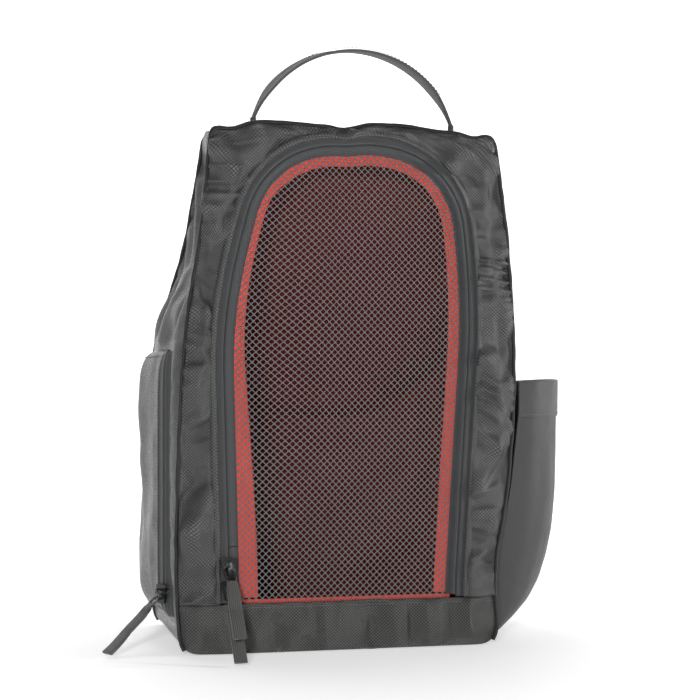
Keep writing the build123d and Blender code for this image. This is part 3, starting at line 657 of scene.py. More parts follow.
def build_shell():
    """Every outer panel in one mesh. Returns the points, the named quads and what stays sewn in place."""
    ring = ring_points()
    count = len(ring)
    half = CELLS_WIDE // 2
    side = CELLS_BAND + CELLS_TALL
    front = np.stack([ring[:, 0], front_y(ring[:, 1]) + setback(ring[:, 0], ring[:, 1]), ring[:, 1]], 1)
    back = np.stack([ring[:, 0], back_y(ring[:, 1]), ring[:, 1]], 1)
    depth = np.linspace(0, 1, CELLS_DEEP + 1)
    wall = front[:, None] * (1 - depth)[None, :, None] + back[:, None] * depth[None, :, None]
    bulge = SIDE_BULGE * np.sin(np.pi * depth)[None] * smooth_step(ring[:, 1], 0.015, 0.12)[:, None]
    bulge = bulge * (1 - smooth_step(ring[:, 1], 0.30, 0.36))[:, None]
    flatter = 0.25 + 0.75 * smooth_step(depth, 0.22, 0.50)[None]
    bulge = bulge * np.where(ring[:, :1] < 0, flatter, 1.0)
    wall[:, :, 0] += np.sign(ring[:, :1]) * bulge

    points = [wall.reshape(-1, 3)]
    at = np.arange(count * (CELLS_DEEP + 1)).reshape(count, CELLS_DEEP + 1)
    quads = {}
    spans = {
        "base_panel": (count - half - 4, count + half + 4),
        "right_gusset": (half + 4, half + side),
        "top_panel": (half + side, half + side + CELLS_WIDE),
        "left_gusset": (half + side + CELLS_WIDE, count - half - 4),
    }
    for name, (first, last) in spans.items():
        quads[name] = cells(at[np.arange(first, last + 1) % count])

    def patch(name, edges, flip):
        """A Coons patch whose edges are points that the shell has already."""
        flat_points = np.concatenate(points)
        body = coons(*[flat_points[e] for e in edges])
        start = len(flat_points)
        rows, columns = body.shape[:2]
        index = np.zeros((rows, columns), int)
        index[0], index[-1] = edges[0], edges[1]
        index[:, 0], index[:, -1] = edges[2], edges[3]
        inner = body[1:-1, 1:-1].reshape(-1, 3)
        index[1:-1, 1:-1] = start + np.arange(len(inner)).reshape(rows - 2, columns - 2)
        points.append(inner)
        faces = cells(index)
        quads[name] = [f[::-1] for f in faces] if flip else faces

    right_up = [half + k for k in range(side + 1)]
    left_up = [(count - half - k) % count for k in range(side + 1)]
    base_row = [(k - half) % count for k in range(CELLS_WIDE + 1)]
    crown_row = [half + side + CELLS_WIDE - k for k in range(CELLS_WIDE + 1)]
    patch("back_panel", [at[base_row, -1], at[crown_row, -1], at[left_up, -1], at[right_up, -1]], True)

    # The frame's inner edge lies under the zip's tape.
    leg, flank, corner, crown = arch_half(-TAPE)
    middle = len(corner) // 2
    tall = joined(leg, flank, corner[: middle + 1])
    over = joined(corner[middle:], crown)
    inner_half = np.concatenate([spaced(tall, CELLS_TALL)[:-1], spaced(over, CELLS_WIDE // 2)])
    inner_half[0, 1] = BAND_TOP
    inner = np.concatenate([inner_half * (-1, 1), inner_half[::-1][1:]])
    inner = np.stack([inner[:, 0], front_y(inner[:, 1]), inner[:, 1]], 1)
    outer_ids = [at[k % count, 0] for k in left_up[CELLS_BAND:]]
    outer_ids += [at[k, 0] for k in crown_row[1:]]
    outer_ids += [at[k, 0] for k in right_up[CELLS_BAND:-1][::-1]]
    outer = np.concatenate(points)[outer_ids]
    start = sum(len(p) for p in points)
    steps = np.linspace(0, 1, CELLS_FRAME + 1)[1:]
    ruled = outer[:, None] * (1 - steps)[None, :, None] + inner[:, None] * steps[None, :, None]
    swell = 0.0035 * np.sin(np.pi * steps)[None] ** 0.8
    ruled[:, :, 1] -= swell
    points.append(ruled.reshape(-1, 3))
    inner_ids = start + np.arange(ruled.shape[0] * CELLS_FRAME).reshape(ruled.shape[0], CELLS_FRAME)
    legs = np.concatenate([np.array(outer_ids)[:, None], inner_ids], 1)
    quads["front_frame"] = cells(legs)

    # The band's top row shares the frame's two feet and runs on under the mesh between them.
    gap = CELLS_WIDE - 2 * CELLS_FRAME
    sofar = np.concatenate(points)
    left_foot, right_foot = sofar[legs[0, -1]], sofar[legs[-1, -1]]
    share = np.linspace(0, 1, gap + 1)[1:-1, None]
    middle_row = left_foot * (1 - share) + right_foot * share
    start = len(sofar)
    points.append(middle_row)
    top_row = list(legs[0]) + list(start + np.arange(gap - 1)) + list(legs[-1][::-1])
    base_front = [at[k, 0] for k in base_row]
    band_left = [at[k, 0] for k in left_up[: CELLS_BAND + 1]]
    band_right = [at[k, 0] for k in right_up[: CELLS_BAND + 1]]
    patch("front_band", [base_front, top_row, band_left, band_right], False)
    return {
        "points": np.concatenate(points),
        "quads": quads,
        "wall": at,
        "frame": legs,
        "top_row": np.array(top_row),
    }


def cloth(piece, pins, frames, grow, pressure, bend, cap):
    """Lets a sheet buckle between its sewn points, and returns its new points."""
    rest = np.array([v.co for v in piece.data.vertices], float)
    group = piece.vertex_groups.new(name="sewn")
    group.add([int(i) for i in np.nonzero(pins)[0]], 1.0, "REPLACE")
    modifier = piece.modifiers.new("Cloth", "CLOTH")
    settings = modifier.settings
    settings.quality = 6
    settings.mass = 0.15
    settings.tension_stiffness = settings.compression_stiffness = 18
    settings.shear_stiffness = 8
    settings.bending_stiffness = bend
    settings.tension_damping = settings.compression_damping = 8
    settings.air_damping = 3
    settings.vertex_group_mass = "sewn"
    settings.shrink_min = -grow
    settings.use_pressure = True
    settings.uniform_pressure_force = pressure
    settings.effector_weights.gravity = 0.15
    modifier.collision_settings.use_collision = False
    modifier.point_cache.frame_start, modifier.point_cache.frame_end = 1, frames
    scene = bpy.context.scene
    for step in range(1, frames + 1):
        scene.frame_set(step)
    settled = piece.evaluated_get(bpy.context.evaluated_depsgraph_get())
    moved = np.array([v.co for v in settled.to_mesh().vertices], float)
    settled.to_mesh_clear()
    piece.modifiers.remove(modifier)
    scene.frame_set(1)
    shift = moved - rest
    far = np.linalg.norm(shift, axis=1)
    shift *= (np.minimum(far, cap) / np.maximum(far, 1e-9))[:, None]
    shift[pins > 0] = 0
    return rest + shift


shell = build_shell()
CUT = shell["points"]
REST = slouch(CUT)


def under_pocket(co):
    """1 where a side pocket covers its gusset, 0 away from it."""
    x, y, z = co.T
    left = between(y, (-0.064, -0.056), (0.058, 0.066)) * (1 - smooth_step(z, 0.212, 0.222))
    right = between(y, (-0.060, -0.050), (0.050, 0.060)) * (1 - smooth_step(z, 0.150, 0.180))
    return np.where(x < -0.09, left, np.where(x > 0.09, right, 0.0))


def sewn_points():
    """1 where the shell is held, at its seams, its foot and under its pockets, and 0 where it is free."""
    held = np.zeros(len(CUT))
    held[shell["wall"][:, 0]] = held[shell["wall"][:, -1]] = 1
    held[shell["frame"][:, -1]] = 1
    held[shell["top_row"]] = 1
    held[CUT[:, 2] < 0.004] = 1
    held[under_pocket(CUT) > 0.5] = 1
    return held


# Folds that run across the frame: from, to, depth and half-width, on the front face as (x, z).
FOLDS = (
    ((-0.090, 0.120), (-0.117, 0.072), 0.0040, 0.0070),
    ((-0.092, 0.170), (-0.116, 0.158), 0.0024, 0.0045),
    ((-0.072, 0.328), (-0.094, 0.360), 0.0044, 0.0070),
    ((-0.080, 0.296), (-0.104, 0.322), 0.0036, 0.0080),
    ((-0.091, 0.230), (-0.108, 0.252), 0.0026, 0.0070),
    ((-0.052, 0.356), (-0.060, 0.373), 0.0026, 0.0050),
    ((0.092, 0.186), (0.128, 0.178), 0.0034, 0.0042),
    ((0.093, 0.204), (0.128, 0.214), 0.0030, 0.0060),
    ((0.096, 0.112), (0.124, 0.152), 0.0038, 0.0065),
    ((0.094, 0.052), (0.114, 0.096), 0.0032, 0.0055),
    ((0.094, 0.262), (0.124, 0.290), 0.0036, 0.0085),
    ((0.070, 0.342), (0.096, 0.358), 0.0036, 0.0065),
    ((0.010, 0.362), (0.006, 0.374), 0.0022, 0.0035),
)


def folded(x, z):
    """How far the frame stands out from its face because of its folds."""
    out = np.zeros(len(x))
    for (x0, z0), (x1, z1), depth, width in FOLDS:
        length = math.hypot(x1 - x0, z1 - z0)
        ux, uz = (x1 - x0) / length, (z1 - z0) / length
        run = (x - x0) * ux + (z - z0) * uz
        off = ((x - x0) * uz - (z - z0) * ux) / width
        ends = smooth_step(run, -0.006, 0.006) * (1 - smooth_step(run, length - 0.008, length + 0.004))
        out += depth * ends * (np.exp(-(off**2)) - 0.45 * np.exp(-((off - 1.8) ** 2)))
    return out


def settled_shell():
    """The shell's points after the cloth has buckled between its seams."""
    held = sewn_points()
    start = REST.copy()
    flow = {
        "left_gusset": (0.016, 0.016, 0.110),
        "right_gusset": (0.016, 0.016, 0.110),
        "front_band": (0.013, 0.02, 0.060),
        "front_frame": (0.030, 0.03, 0.050),
        "back_panel": (0.050, 0.05, 0.070),
        "top_panel": (0.026, 0.02, 0.030),
    }
    for seed, (name, size) in enumerate(flow.items()):
        ids = np.unique(np.array(shell["quads"][name]))
        ids = ids[held[ids] < 1]
        spot = REST[ids] / np.array(size)
        value = np.array([noise.noise(Vector(p) + Vector((seed * 7.0, 0, 0))) for p in spot])
        out = np.zeros((len(ids), 3))
        if "gusset" in name:
            out[:, 0] = np.sign(REST[ids, 0])
        elif name == "top_panel":
            out[:, 2] = 1
        else:
            out[:, 1] = 1 if name == "back_panel" else -1
        start[ids] += out * value[:, None] * BUCKLE
    faces = [f for quads in shell["quads"].values() for f in quads]
    body = make("settling", start, faces)
    result = cloth(body, held, frames=22, grow=0.028, pressure=0.25, bend=1.2, cap=0.010)
    bpy.data.objects.remove(body)
    return result


POINTS = settled_shell()


def panel_faces(name):
    quads = np.array(shell["quads"][name])
    used, index = np.unique(quads, return_inverse=True)
    return used, index.reshape(-1, 4)


def cut_flat(name, ids):
    """Each point's place on the cloth that its panel was cut from."""
    x, y, z = CUT[ids].T
    if "gusset" in name:
        return np.stack([y, z], 1)
    if name in ("base_panel", "top_panel"):
        return np.stack([x, y], 1)
    if name == "back_panel":
        slope = math.hypot(1, (BACK_Y - BACK_TOP_Y) / (CROWN - BACK_BEND))
        return np.stack([x, z + np.maximum(z - BACK_BEND, 0) * (slope - 1)], 1)
    return np.stack([x, z], 1)


def refined(name, points, faces, flat, levels=1):
    """A panel with its mesh made finer, as a new piece."""
    coarse = make(name + "_coarse", points, faces, flat)
    finer(coarse, levels)
    mesh = bpy.data.meshes.new_from_object(coarse.evaluated_get(bpy.context.evaluated_depsgraph_get()))
    bpy.data.objects.remove(coarse)
    mesh.name = name
    mesh.polygons.foreach_set("use_smooth", [True] * len(mesh.polygons))
    piece = bpy.data.objects.new(name, mesh)
    bpy.context.scene.collection.objects.link(piece)
    return piece


def pushed(piece, amount):
    """Moves each point out along its normal; the cloth's open edges stay where they are."""
    mesh = piece.data
    normals = np.zeros(len(mesh.vertices) * 3, np.float32)
    mesh.vertices.foreach_get("normal", normals)
    co = np.array([v.co for v in mesh.vertices], float)
    edges = np.zeros(len(mesh.vertices), bool)
    uses = {}
    for polygon in mesh.polygons:
        for key in polygon.edge_keys:
            uses[key] = uses.get(key, 0) + 1
    for (a, b), times in uses.items():
        if times == 1:
            edges[a] = edges[b] = True
    far = np.array(amount(co), float)
    far[edges] = 0
    co += normals.reshape(-1, 3) * far[:, None]
    mesh.vertices.foreach_set("co", co.ravel())
    mesh.update()


OUTER = spaced(np.concatenate(outline_half()), 400)
ARCH_OUTER = arch(-TAPE)


def distance_to(line, x, z):
    """How far each (x, z) is from a line, and how far along the line that is."""
    at = along(line)
    gap = np.full(len(x), 9.0)
    where = np.zeros(len(x))
    for k in range(0, len(line), 2):
        d = np.hypot(x - line[k, 0], z - line[k, 1])
        near = d < gap
        gap[near], where[near] = d[near], at[k]
    return gap, where


def ripples(where, pitch, seed):
    """Short puckers along a seam, uneven in height."""
    value = [noise.noise(Vector((w / pitch, seed, 0.3))) for w in where]
    return np.array(value)


def crumpled(co, size, height):
    """Soft facets that meet in sharper ridges, as stiff cloth folds."""
    turn = 0.85 + 0.5 * np.sin(co[:, 2] * 31 + co[:, 0] * 9)
    run = (np.cos(turn) * co[:, 0] + np.sin(turn) * co[:, 2]) / (1.7 * size)
    across = (np.sin(turn) * co[:, 0] - np.cos(turn) * co[:, 2]) / (0.8 * size)
    out = np.zeros(len(co))
    for k, share in ((1.0, 0.78), (2.3, 0.22)):
        value = np.array([noise.noise(Vector((a * k, b * k, 4.0 * k))) for a, b in zip(run, across)])
        out += share * (0.62 - 2.2 * np.abs(value))
    return out * height


def frame_puckers(co):
    x, z = co[:, 0], co[:, 2]
    gap, where = distance_to(ARCH_OUTER, x, z)
    seam, run = distance_to(OUTER, abs(x), z)
    near_zip = 0.0012 * np.exp(-gap / 0.007) * ripples(where, 0.0065, 1.0)
    near_seam = 0.0013 * np.exp(-seam / 0.008) * ripples(run, 0.008, 4.0)
    free = smooth_step(np.minimum(gap, seam), 0.0, 0.006)
    far = near_zip + near_seam + free * (1.1 * folded(x, z) + crumpled(co, 0.040, 0.0044))
    return np.maximum(far, -0.0030)


def band_gathers(co):
    x, z = co[:, 0], co[:, 2]
    drop = np.clip((BAND_TOP - z) / BAND_TOP, 0, 1)
    where = 1 - smooth_step(abs(x), 0.088, 0.105)
    lean = x + 0.12 * (z - 0.02)
    value = np.array([noise.noise(Vector((p / 0.0085, 2.0, q / 0.05))) for p, q in zip(lean, z)])
    fine = np.array([noise.noise(Vector((p / 0.0042, 9.0, q / 0.04))) for p, q in zip(lean, z)])
    height = np.sin(np.pi * np.clip(drop, 0.02, 1)) ** 0.6
    return (0.0026 * value + 0.0009 * fine) * height * (0.35 + 0.65 * where)


def gusset_creases(co):
    y, z = co[:, 1], co[:, 2]
    value = np.array([noise.noise(Vector((1.0, q / 0.010, w / 0.090))) for q, w in zip(y, z)])
    cross = np.array([noise.noise(Vector((5.0, q / 0.030, w / 0.014))) for q, w in zip(y, z)])
    return (0.0016 * value + 0.0006 * cross) * (1 - under_pocket(co))


def back_creases(co):
    """The back hangs slack: broad folds, a dent along its bend and puckers at its seam."""
    x, z = co[:, 0], co[:, 2]
    seam, run = distance_to(OUTER, abs(x), z)
    bend = -0.0040 * hump(z, BACK_BEND, 0.016)
    far = smooth_step(seam, 0.0, 0.022) * (crumpled(co, 0.052, 0.0058) + bend)
    return np.maximum(far + 0.0013 * np.exp(-seam / 0.009) * ripples(run, 0.010, 7.0), -0.0026)


def soft_noise(amount, size):
    return lambda co: np.array([noise.noise(Vector(p) / size) for p in co]) * amount


SHAPES = {
    "front_frame": (frame_puckers, SHELL, "shell_fabric"),
    "front_band": (band_gathers, BAND, "shell_fabric"),
    "left_gusset": (gusset_creases, SHELL, "shell_fabric"),
    "right_gusset": (gusset_creases, SHELL, "shell_fabric"),
    "top_panel": (soft_noise(0.0010, 0.016), SHELL, "shell_fabric"),
    "back_panel": (back_creases, SHELL, "shell_fabric"),
    "base_panel": (soft_noise(0.0002, 0.030), SHELL, "shell_fabric"),
}
for name, (wrinkle, material, slot) in SHAPES.items():
    ids, faces = panel_faces(name)
    levels = 2 if name in ("front_frame", "front_band", "back_panel") else 1
    piece = refined(name + "_cloth", POINTS[ids], faces, cut_flat(name, ids), levels)
    pushed(piece, wrinkle)
    thicken(piece, 0.0012)
    dress(piece, material)
    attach(piece, "shell")
    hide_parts(name)

# --- lining -------------------------------------------------------------------------------------
whole = make("whole", POINTS, [f for quads in shell["quads"].values() for f in quads])
NORMALS = np.array([v.normal for v in whole.data.vertices], float)
PAIRS = np.array([e.vertices[:] for e in whole.data.edges])
bpy.data.objects.remove(whole)
# Evened out, so that the linings don't cross themselves or the cloth in its sharper folds.
for _ in range(5):
    total = NORMALS.copy()
    np.add.at(total, PAIRS[:, 0], NORMALS[PAIRS[:, 1]])
    np.add.at(total, PAIRS[:, 1], NORMALS[PAIRS[:, 0]])
    NORMALS = total / np.linalg.norm(total, axis=1, keepdims=True)
LININGS = {
    "front_lining": ("front_frame", 0.0064),
    "left_lining": ("left_gusset", 0.0076),
    "right_lining": ("right_gusset", 0.0076),
    "top_lining": ("top_panel", 0.0058),
    "back_lining": ("back_panel", 0.0072),
}
RIM_DROP = 0.0052
RIM_TUCK = 0.0066
for name, (panel, depth) in LININGS.items():
    ids, faces = panel_faces(panel)
    inside = POINTS[ids] - NORMALS[ids] * depth
    if panel == "front_frame":
        inside = POINTS[ids] + (0, depth, 0)
        by_side = np.sign(inside[:, 0]) * smooth_step(abs(inside[:, 0]), 0.095, 0.115)
        inside[:, 2] -= RIM_DROP * smooth_step(inside[:, 2], 0.345, 0.370)
        inside[:, 0] -= RIM_TUCK * by_side
    inside[:, 1] += soft_noise(0.0004, 0.02)(inside)
    piece = make(name + "_cloth", inside, faces[:, ::-1], cut_flat(panel, ids))
    finer(piece)
    dress(piece, LINING)
    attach(piece, "shell")
    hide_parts(name)


def hold(piece, body, replaces, blend):
    """Puts a piece on the body that carries it, or leaves a piece that bridges two bodies in world space,
    and hides the CAD parts it stands for.
    """
    if blend:
        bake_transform(piece)
    else:
        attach(piece, body)
    if replaces:
        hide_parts(*replaces)


def sheet_grid(name, points, material, body, replaces=(), depth=0.0, closed=False,
               levels=0, flip=False, blend=None):
    """A sheet from a grid of points, dressed and riding on its body."""
    places = flat_of(points)
    piece = grid(name, points, places, closed, flip)
    if levels:
        finer(piece, levels)
    if depth:
        thicken(piece, depth)
    dress(piece, material)
    hold(piece, body, replaces, blend)
    return piece


def solid(name, parts, material, body, replaces=(), blend=None):
    """A piece made of several small meshes."""
    piece = merge(parts, name)
    dress(piece, material)
    hold(piece, body, replaces, blend)
    return piece


def tape_sheet(name, line, profile, body, replaces=()):
    """A zip tape's profile carried along its line."""
    tape = swept(line, profile, OUT)
    sheet_grid(name, tape, ZIP, body, replaces, depth=TAPE_DEPTH, flip=True)


low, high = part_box("base_lining")
xs = np.linspace(low.x, high.x, 30)
ys = np.linspace(low.y, high.y, 22)
floor_cloth = np.array([[(x, y, high.z) for x in xs] for y in ys])
floor_cloth[:, :, 2] += soft_noise(0.0007, 0.05)(floor_cloth.reshape(-1, 3)).reshape(22, 30)
sheet_grid("base_lining_cloth", floor_cloth, LINING, "shell", ["base_lining"],
           levels=1)
dress(frame["nodes"]["base_board"], BOARD)

# --- piping -------------------------------------------------------------------------------------
def seam_line(column, outward):
    """The line of a seam's cord from the bag's left foot over the top to its right foot."""
    ring = shell["wall"][:, column]
    half = CELLS_WIDE // 2
    order = list(range(half, len(ring) - half + 1))[::-1]
    line = POINTS[ring[order]] + NORMALS[ring[order]] * outward
    smooth = line.copy()
    smooth[1:-1] = (line[:-2] + 2 * line[1:-1] + line[2:]) / 4
    return spaced(smooth, 520)


for name, column in (("front_piping", 0), ("back_piping", -1)):
    line = seam_line(column, 0.0007)
    line += np.stack([soft_noise(0.0005, 0.012)(line + k) for k in range(3)], 1)
    corner = hump(abs(line[:, 0] - 0.010), 0.102, 0.005) * hump(line[:, 2], 0.3675, 0.005)
    radius = 0.0015 * (1 + 0.10 * soft_noise(1.0, 0.006)(line) + 0.5 * corner)
    solid(name + "_cord", [tube(line, radius)], PIPING_CLOTH, "shell", [name])

# --- zip round the window -----------------------------------------------------------------------
def arch_line(inset, cells=560, low=ZIP_FOOT):
    """The zip's line on the front face, from the left foot to the right foot."""
    flat = arch(inset)
    flat = flat[flat[:, 1] >= low]
    flat = spaced(flat, cells)
    return slouch(np.stack([flat[:, 0], front_y(flat[:, 1]), flat[:, 1]], 1))


def cut_below(line, left, right):
    """A zip line's part above a height on its left leg and another on its right."""
    first, last = np.split(line, [len(line) // 2])
    start = point_at(first, first[:, 2], left)
    stop = point_at(last[::-1], last[::-1, 2], right)
    kept = first[first[:, 2] > left + 1e-5], last[last[:, 2] > right + 1e-5]
    return np.concatenate([[start], *kept, [stop]])


def mm(*pairs):
    """Profile points given in millimetres."""
    return [(a / 1000, b / 1000) for a, b in pairs]


ZIP_LINE = arch_line(0)
OUT = (0, -1, 0)
FRAME_TAPE = mm((-9.5, -1.1), (-7.0, -0.7), (-4.6, -0.45), (-3.5, -0.1), (-2.7, 0.5), (-1.7, 0.8),
                (-0.9, 0.62), (-0.4, 0.0))
FLAP_TAPE = [(-a, b) for a, b in FRAME_TAPE[::-1]]
FLAP_TAPE[-1] = (0.0072, -0.0006)
FLAP_LINE = cut_below(ZIP_LINE, GARAGE_TOP + 0.0003, FLAP_FOOT)
left_leg = np.stack(point_at(ZIP_LINE[:200], ZIP_LINE[:200, 2], np.linspace(ZIP_FOOT, GARAGE_TOP, 40)), 1)
tape_sheet("frame_zip_tape_cloth", ZIP_LINE, FRAME_TAPE, "shell", ["frame_zip_tape"])
tape_sheet("zip_garage_cloth", left_leg, FLAP_TAPE, "shell")
tape_sheet("flap_zip_tape_cloth", FLAP_LINE, FLAP_TAPE, "window_flap", ["flap_zip_tape"])


def bead_radius(line):
    """A coil's strand swells and thins with each turn."""
    return 0.00042 * (0.82 + 0.28 * np.cos(math.tau * along(line) / 0.00136) ** 2)


def coil(name, line, side, body, replaces=()):
    """One half of the zip's nylon coil: close turns along the zip's edge."""
    fine = spaced(line, int(along(line)[-1] / 0.00034))
    centre = swept(fine, [(side * 0.00052, 0.00012)], OUT)[:, 0]
    solid(name, [tube(centre, bead_radius(fine), 6)], COIL, body, replaces)


coil("frame_zip_coil_turns", ZIP_LINE, -1, "shell", ["frame_zip_coil"])
coil("flap_zip_coil_turns", FLAP_LINE, 1, "window_flap", ["flap_zip_coil"])
coil("garage_coil_turns", left_leg, 1, "shell")

# The frame's cloth is turned under beside the zip: a soft roll that puckers at its stitches.
HEM_LINE = arch_line(-TAPE)
ROLL = mm((-3.6, -0.3), (-3.1, 0.45), (-2.3, 1.05), (-1.4, 1.35), (-0.6, 1.25), (0.0, 0.85), (0.25, 0.25),
          (0.1, -0.7))
ROLL_FREE = np.array([0, 0.5, 1, 1, 1, 1, 0.6, 0])
hem_roll = swept(HEM_LINE, ROLL, OUT)
pucker = ripples(along(HEM_LINE), 0.0055, 2.0) * 0.00045 + ripples(along(HEM_LINE), 0.028, 5.0) * 0.0006
hem_roll += frame_along(HEM_LINE, OUT)[2][:, None] * (pucker[:, None] * ROLL_FREE)[:, :, None]
sheet_grid("zip_roll_cloth", hem_roll, SHELL, "shell", depth=0.0007, levels=1,
           flip=True)

# --- mesh window --------------------------------------------------------------------------------
PITCH_X, PITCH_Z = 0.00235, 0.0024
HOLE_CORNER, HOLE_SIDE = 0.00176, 0.00140
YARN = 0.00040


def inside(polygon, x, z):
    """Whether a point lies in a closed outline."""
    a, b = polygon, np.roll(polygon, -1, 0)
    crosses = ((a[:, 1] > z) != (b[:, 1] > z)) & (
        x < (b[:, 0] - a[:, 0]) * (z - a[:, 1]) / (b[:, 1] - a[:, 1] + 1e-12) + a[:, 0]
    )
    return crosses.sum() % 2 == 1


def mesh_sag(x, z):
    """How far the mesh stands out: the sheet is slack and bows a little over its middle."""
    across = np.clip(1 - (x / 0.078) ** 2, 0, 1)
    up = np.clip(np.sin(np.pi * (z - 0.036) / 0.315), 0, 1)
    return (0.0035 + 0.0008 * math.sin(x * 61 + z * 23)) * across * up


def mesh_lattice():
    """A knitted mesh: staggered holes in rows, each ringed by eight short stretches of yarn."""
    edge = arch(TAPE - 0.0008)
    edge = edge[edge[:, 1] > ZIP_FOOT]
    points, faces, index = [], [], {}

    def point(x, z, deep, key=None):
        key = key or len(points)
        if key not in index:
            index[key] = len(points)
            points.append(slouch((x, front_y(z) - mesh_sag(x, z) + 0.0006 + deep, z)))
        return index[key]

    for j in range(int(ZIP_FOOT / PITCH_Z), int(ZIP_CROWN / PITCH_Z)):
        for i in range(-36, 37):
            x, z = i * PITCH_X, j * PITCH_Z
            if (i + j) % 2 or not inside(edge, x, z):
                continue
            rim, hole, back = [], [], []
            for k, (c, s) in enumerate(circle(8)):
                corner = k % 2 == 0
                reach = 2 if corner else 1
                key = (2 * i + reach * round(c), 2 * j + reach * round(s))
                bx, bz = key[0] * PITCH_X / 2, key[1] * PITCH_Z / 2
                rim.append(point(bx, bz, -0.00022 if corner else -0.0001, key))
                size = HOLE_CORNER if corner else HOLE_SIDE
                hx, hz = x + size * c, z + size * s
                hole.append(point(hx, hz, 0.0))
                back.append(point(hx, hz, YARN))
            for k in range(8):
                n = (k + 1) % 8
                faces.append([rim[k], rim[n], hole[n], hole[k]])
                faces.append([hole[k], hole[n], back[n], back[k]])
    return points, faces


points, faces = mesh_lattice()
flat = [(p[0], p[2]) for p in points]
mesh_piece = make("mesh_window_knit", points, faces, flat)
dress(mesh_piece, MESH)
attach(mesh_piece, "window_flap")
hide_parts("mesh_window")


# --- the red binding behind the mesh, and the hinge seam at its foot ------------------------------
def binding_width(x, z):
    if x < 0:
        side = 0.005 + 0.008 * (1 - smooth_step(z, 0.06, 0.30))
    else:
        side = 0.0082 - 0.001 * smooth_step(z, 0.1, 0.3)
    crown = smooth_step(z, 0.325, 0.350)
    return side * (1 - crown) + 0.007 * crown


line = arch_line(0.0, cells=300, low=0.0385)
_, side, out = frame_along(line, OUT)
rows = []
for p, s, o in zip(line, side, out):
    start = p + s * 0.0055 + o * (mesh_sag(p[0] * 0.9, p[2]) - 0.0020)
    rows.append([start + s * (binding_width(p[0], p[2]) + 0.002) * t for t in np.linspace(0, 1, 6)])
binding = np.array(rows)
binding[:, :, 1] += soft_noise(0.0004, 0.008)(binding.reshape(-1, 3)).reshape(binding.shape[:2])
sheet_grid("window_binding_cloth", binding, RED, "window_flap", ["window_binding"],
           depth=TAPE_DEPTH, levels=1, flip=True)

foot_x = np.linspace(-0.0752, 0.0785, 60)
foot_z = np.linspace(0.0300, 0.0380, 8)
foot_y = front_y(foot_z) + 0.0030 - 0.0018 * smooth_step(foot_z, 0.034, 0.0365)
foot = np.array([[(x, y, z) for x in foot_x] for y, z in zip(foot_y, foot_z)])
sheet_grid("mesh_foot_seam", foot, RED, "shell", ["band_binding"], depth=TAPE_DEPTH,
           blend=("shell", "window_flap", (0, FRONT_Y, 0.0362), (0, FRONT_Y, 0.0385)))

# --- bottle pocket ------------------------------------------------------------------------------
BOTTLE_FOOT = 0.1175
BOTTLE_SHARES = ((0.006, 0.22), (0.014, 0.44), (0.026, 0.64), (0.042, 0.78), (0.060, 0.875), (0.080, 0.94),
                 (0.110, 0.985), (0.140, 1.0), (BOTTLE_MOUTH, 1.0))


def bottle_point(around, z, lift=0.0):
    """A point of the bottle pocket: around from 0 at its front seam to 1 at its back seam."""
    share = np.interp(z, *zip(*BOTTLE_SHARES))
    reach = (BOTTLE_BULGE + 0.120 - BOTTLE_FOOT) * share
    half = BOTTLE_HALF_DEPTH * (0.90 + 0.10 * share)
    turn = np.pi * (around - 0.5)
    y = half * np.sin(turn)
    x = BOTTLE_FOOT + reach * np.maximum(np.cos(turn), 0) ** 0.62
    wrinkle = 0.0022 * noise.noise(Vector((around * 6.0, z / 0.11, 3.0)))
    wrinkle += 0.0012 * noise.noise(Vector((around * 15.0, z / 0.07, 8.0)))
    out = Vector((max(math.cos(turn), 0.12), math.sin(turn) * 0.6, 0)).normalized()
    fade = math.sin(math.pi * min(max(around, 0.02), 0.98)) ** 0.5
    dip = 0.0022 * (1 - math.cos(turn) ** 2) * smooth_step(z, 0.15, BOTTLE_MOUTH)
    wrinkle *= fade * (1 - 0.6 * smooth_step(z, 0.16, 0.18))
    return sewn_to_gusset(np.array([x, y, z - dip]) + np.array(out) * (wrinkle + lift), around)


def sewn_to_gusset(p, around):
    """The pocket's side edges lie on the gusset."""
    edge = max(0.0, 1 - min(around, 1 - around) / 0.05)
    side = np.interp(p[2], [0, 0.17, 0.35], [0.1165, 0.1205, 0.1065])
    side += SIDE_BULGE * smooth_step(p[2], 0.015, 0.12)
    p[0] = p[0] * (1 - edge) + (side + 0.0008) * edge
    own = 0.9 * smooth_step(p[0], 0.125, 0.165)
    return own * p + (1 - own) * slouch(p[None])[0]


AROUND = np.linspace(0, 1, 49)
HEIGHTS = np.linspace(0.007, BOTTLE_MOUTH, 46)
pocket = np.array([[bottle_point(a, z) for a in AROUND] for z in HEIGHTS])
sheet_grid("bottle_pocket_cloth", pocket, POCKET, "shell", ["bottle_pocket"], depth=0.0012,
           levels=1)
hem_heights = np.linspace(BOTTLE_MOUTH - BOTTLE_HEM, BOTTLE_MOUTH, 9)
# The hem's rows, as (height, lift off the pocket, rise): up its outside, over its roll and down its inside.
HEM_ROLL = ((0.0008, 0.0008), (-0.0004, 0.0012), (-0.0016, 0.0008), (-0.0018, -0.0004))
hem_rows = [(z, 0.0010, 0) for z in hem_heights]
hem_rows += [(BOTTLE_MOUTH, lift, rise) for lift, rise in HEM_ROLL]
hem_rows += [(z, -0.0018, 0) for z in hem_heights[::-1][1:]]
hem = np.array([[bottle_point(a, z, lift) + (0, 0, rise) for a in AROUND] for z, lift, rise in hem_rows])
sheet_grid("bottle_pocket_hem_cloth", hem, HEM_CLOTH, "shell", ["bottle_pocket_hem"],
           levels=1)
stitch_z = BOTTLE_MOUTH - BOTTLE_HEM + 0.0022
line = np.array([bottle_point(a, stitch_z, 0.00125) for a in np.linspace(0.03, 0.97, 160)])
spokes = line - np.array([BOTTLE_FOOT, 0, 0])
spokes[:, 2] = 0
solid("hem_stitching", stitch_row(line, spokes), LIGHT_THREAD, "shell")

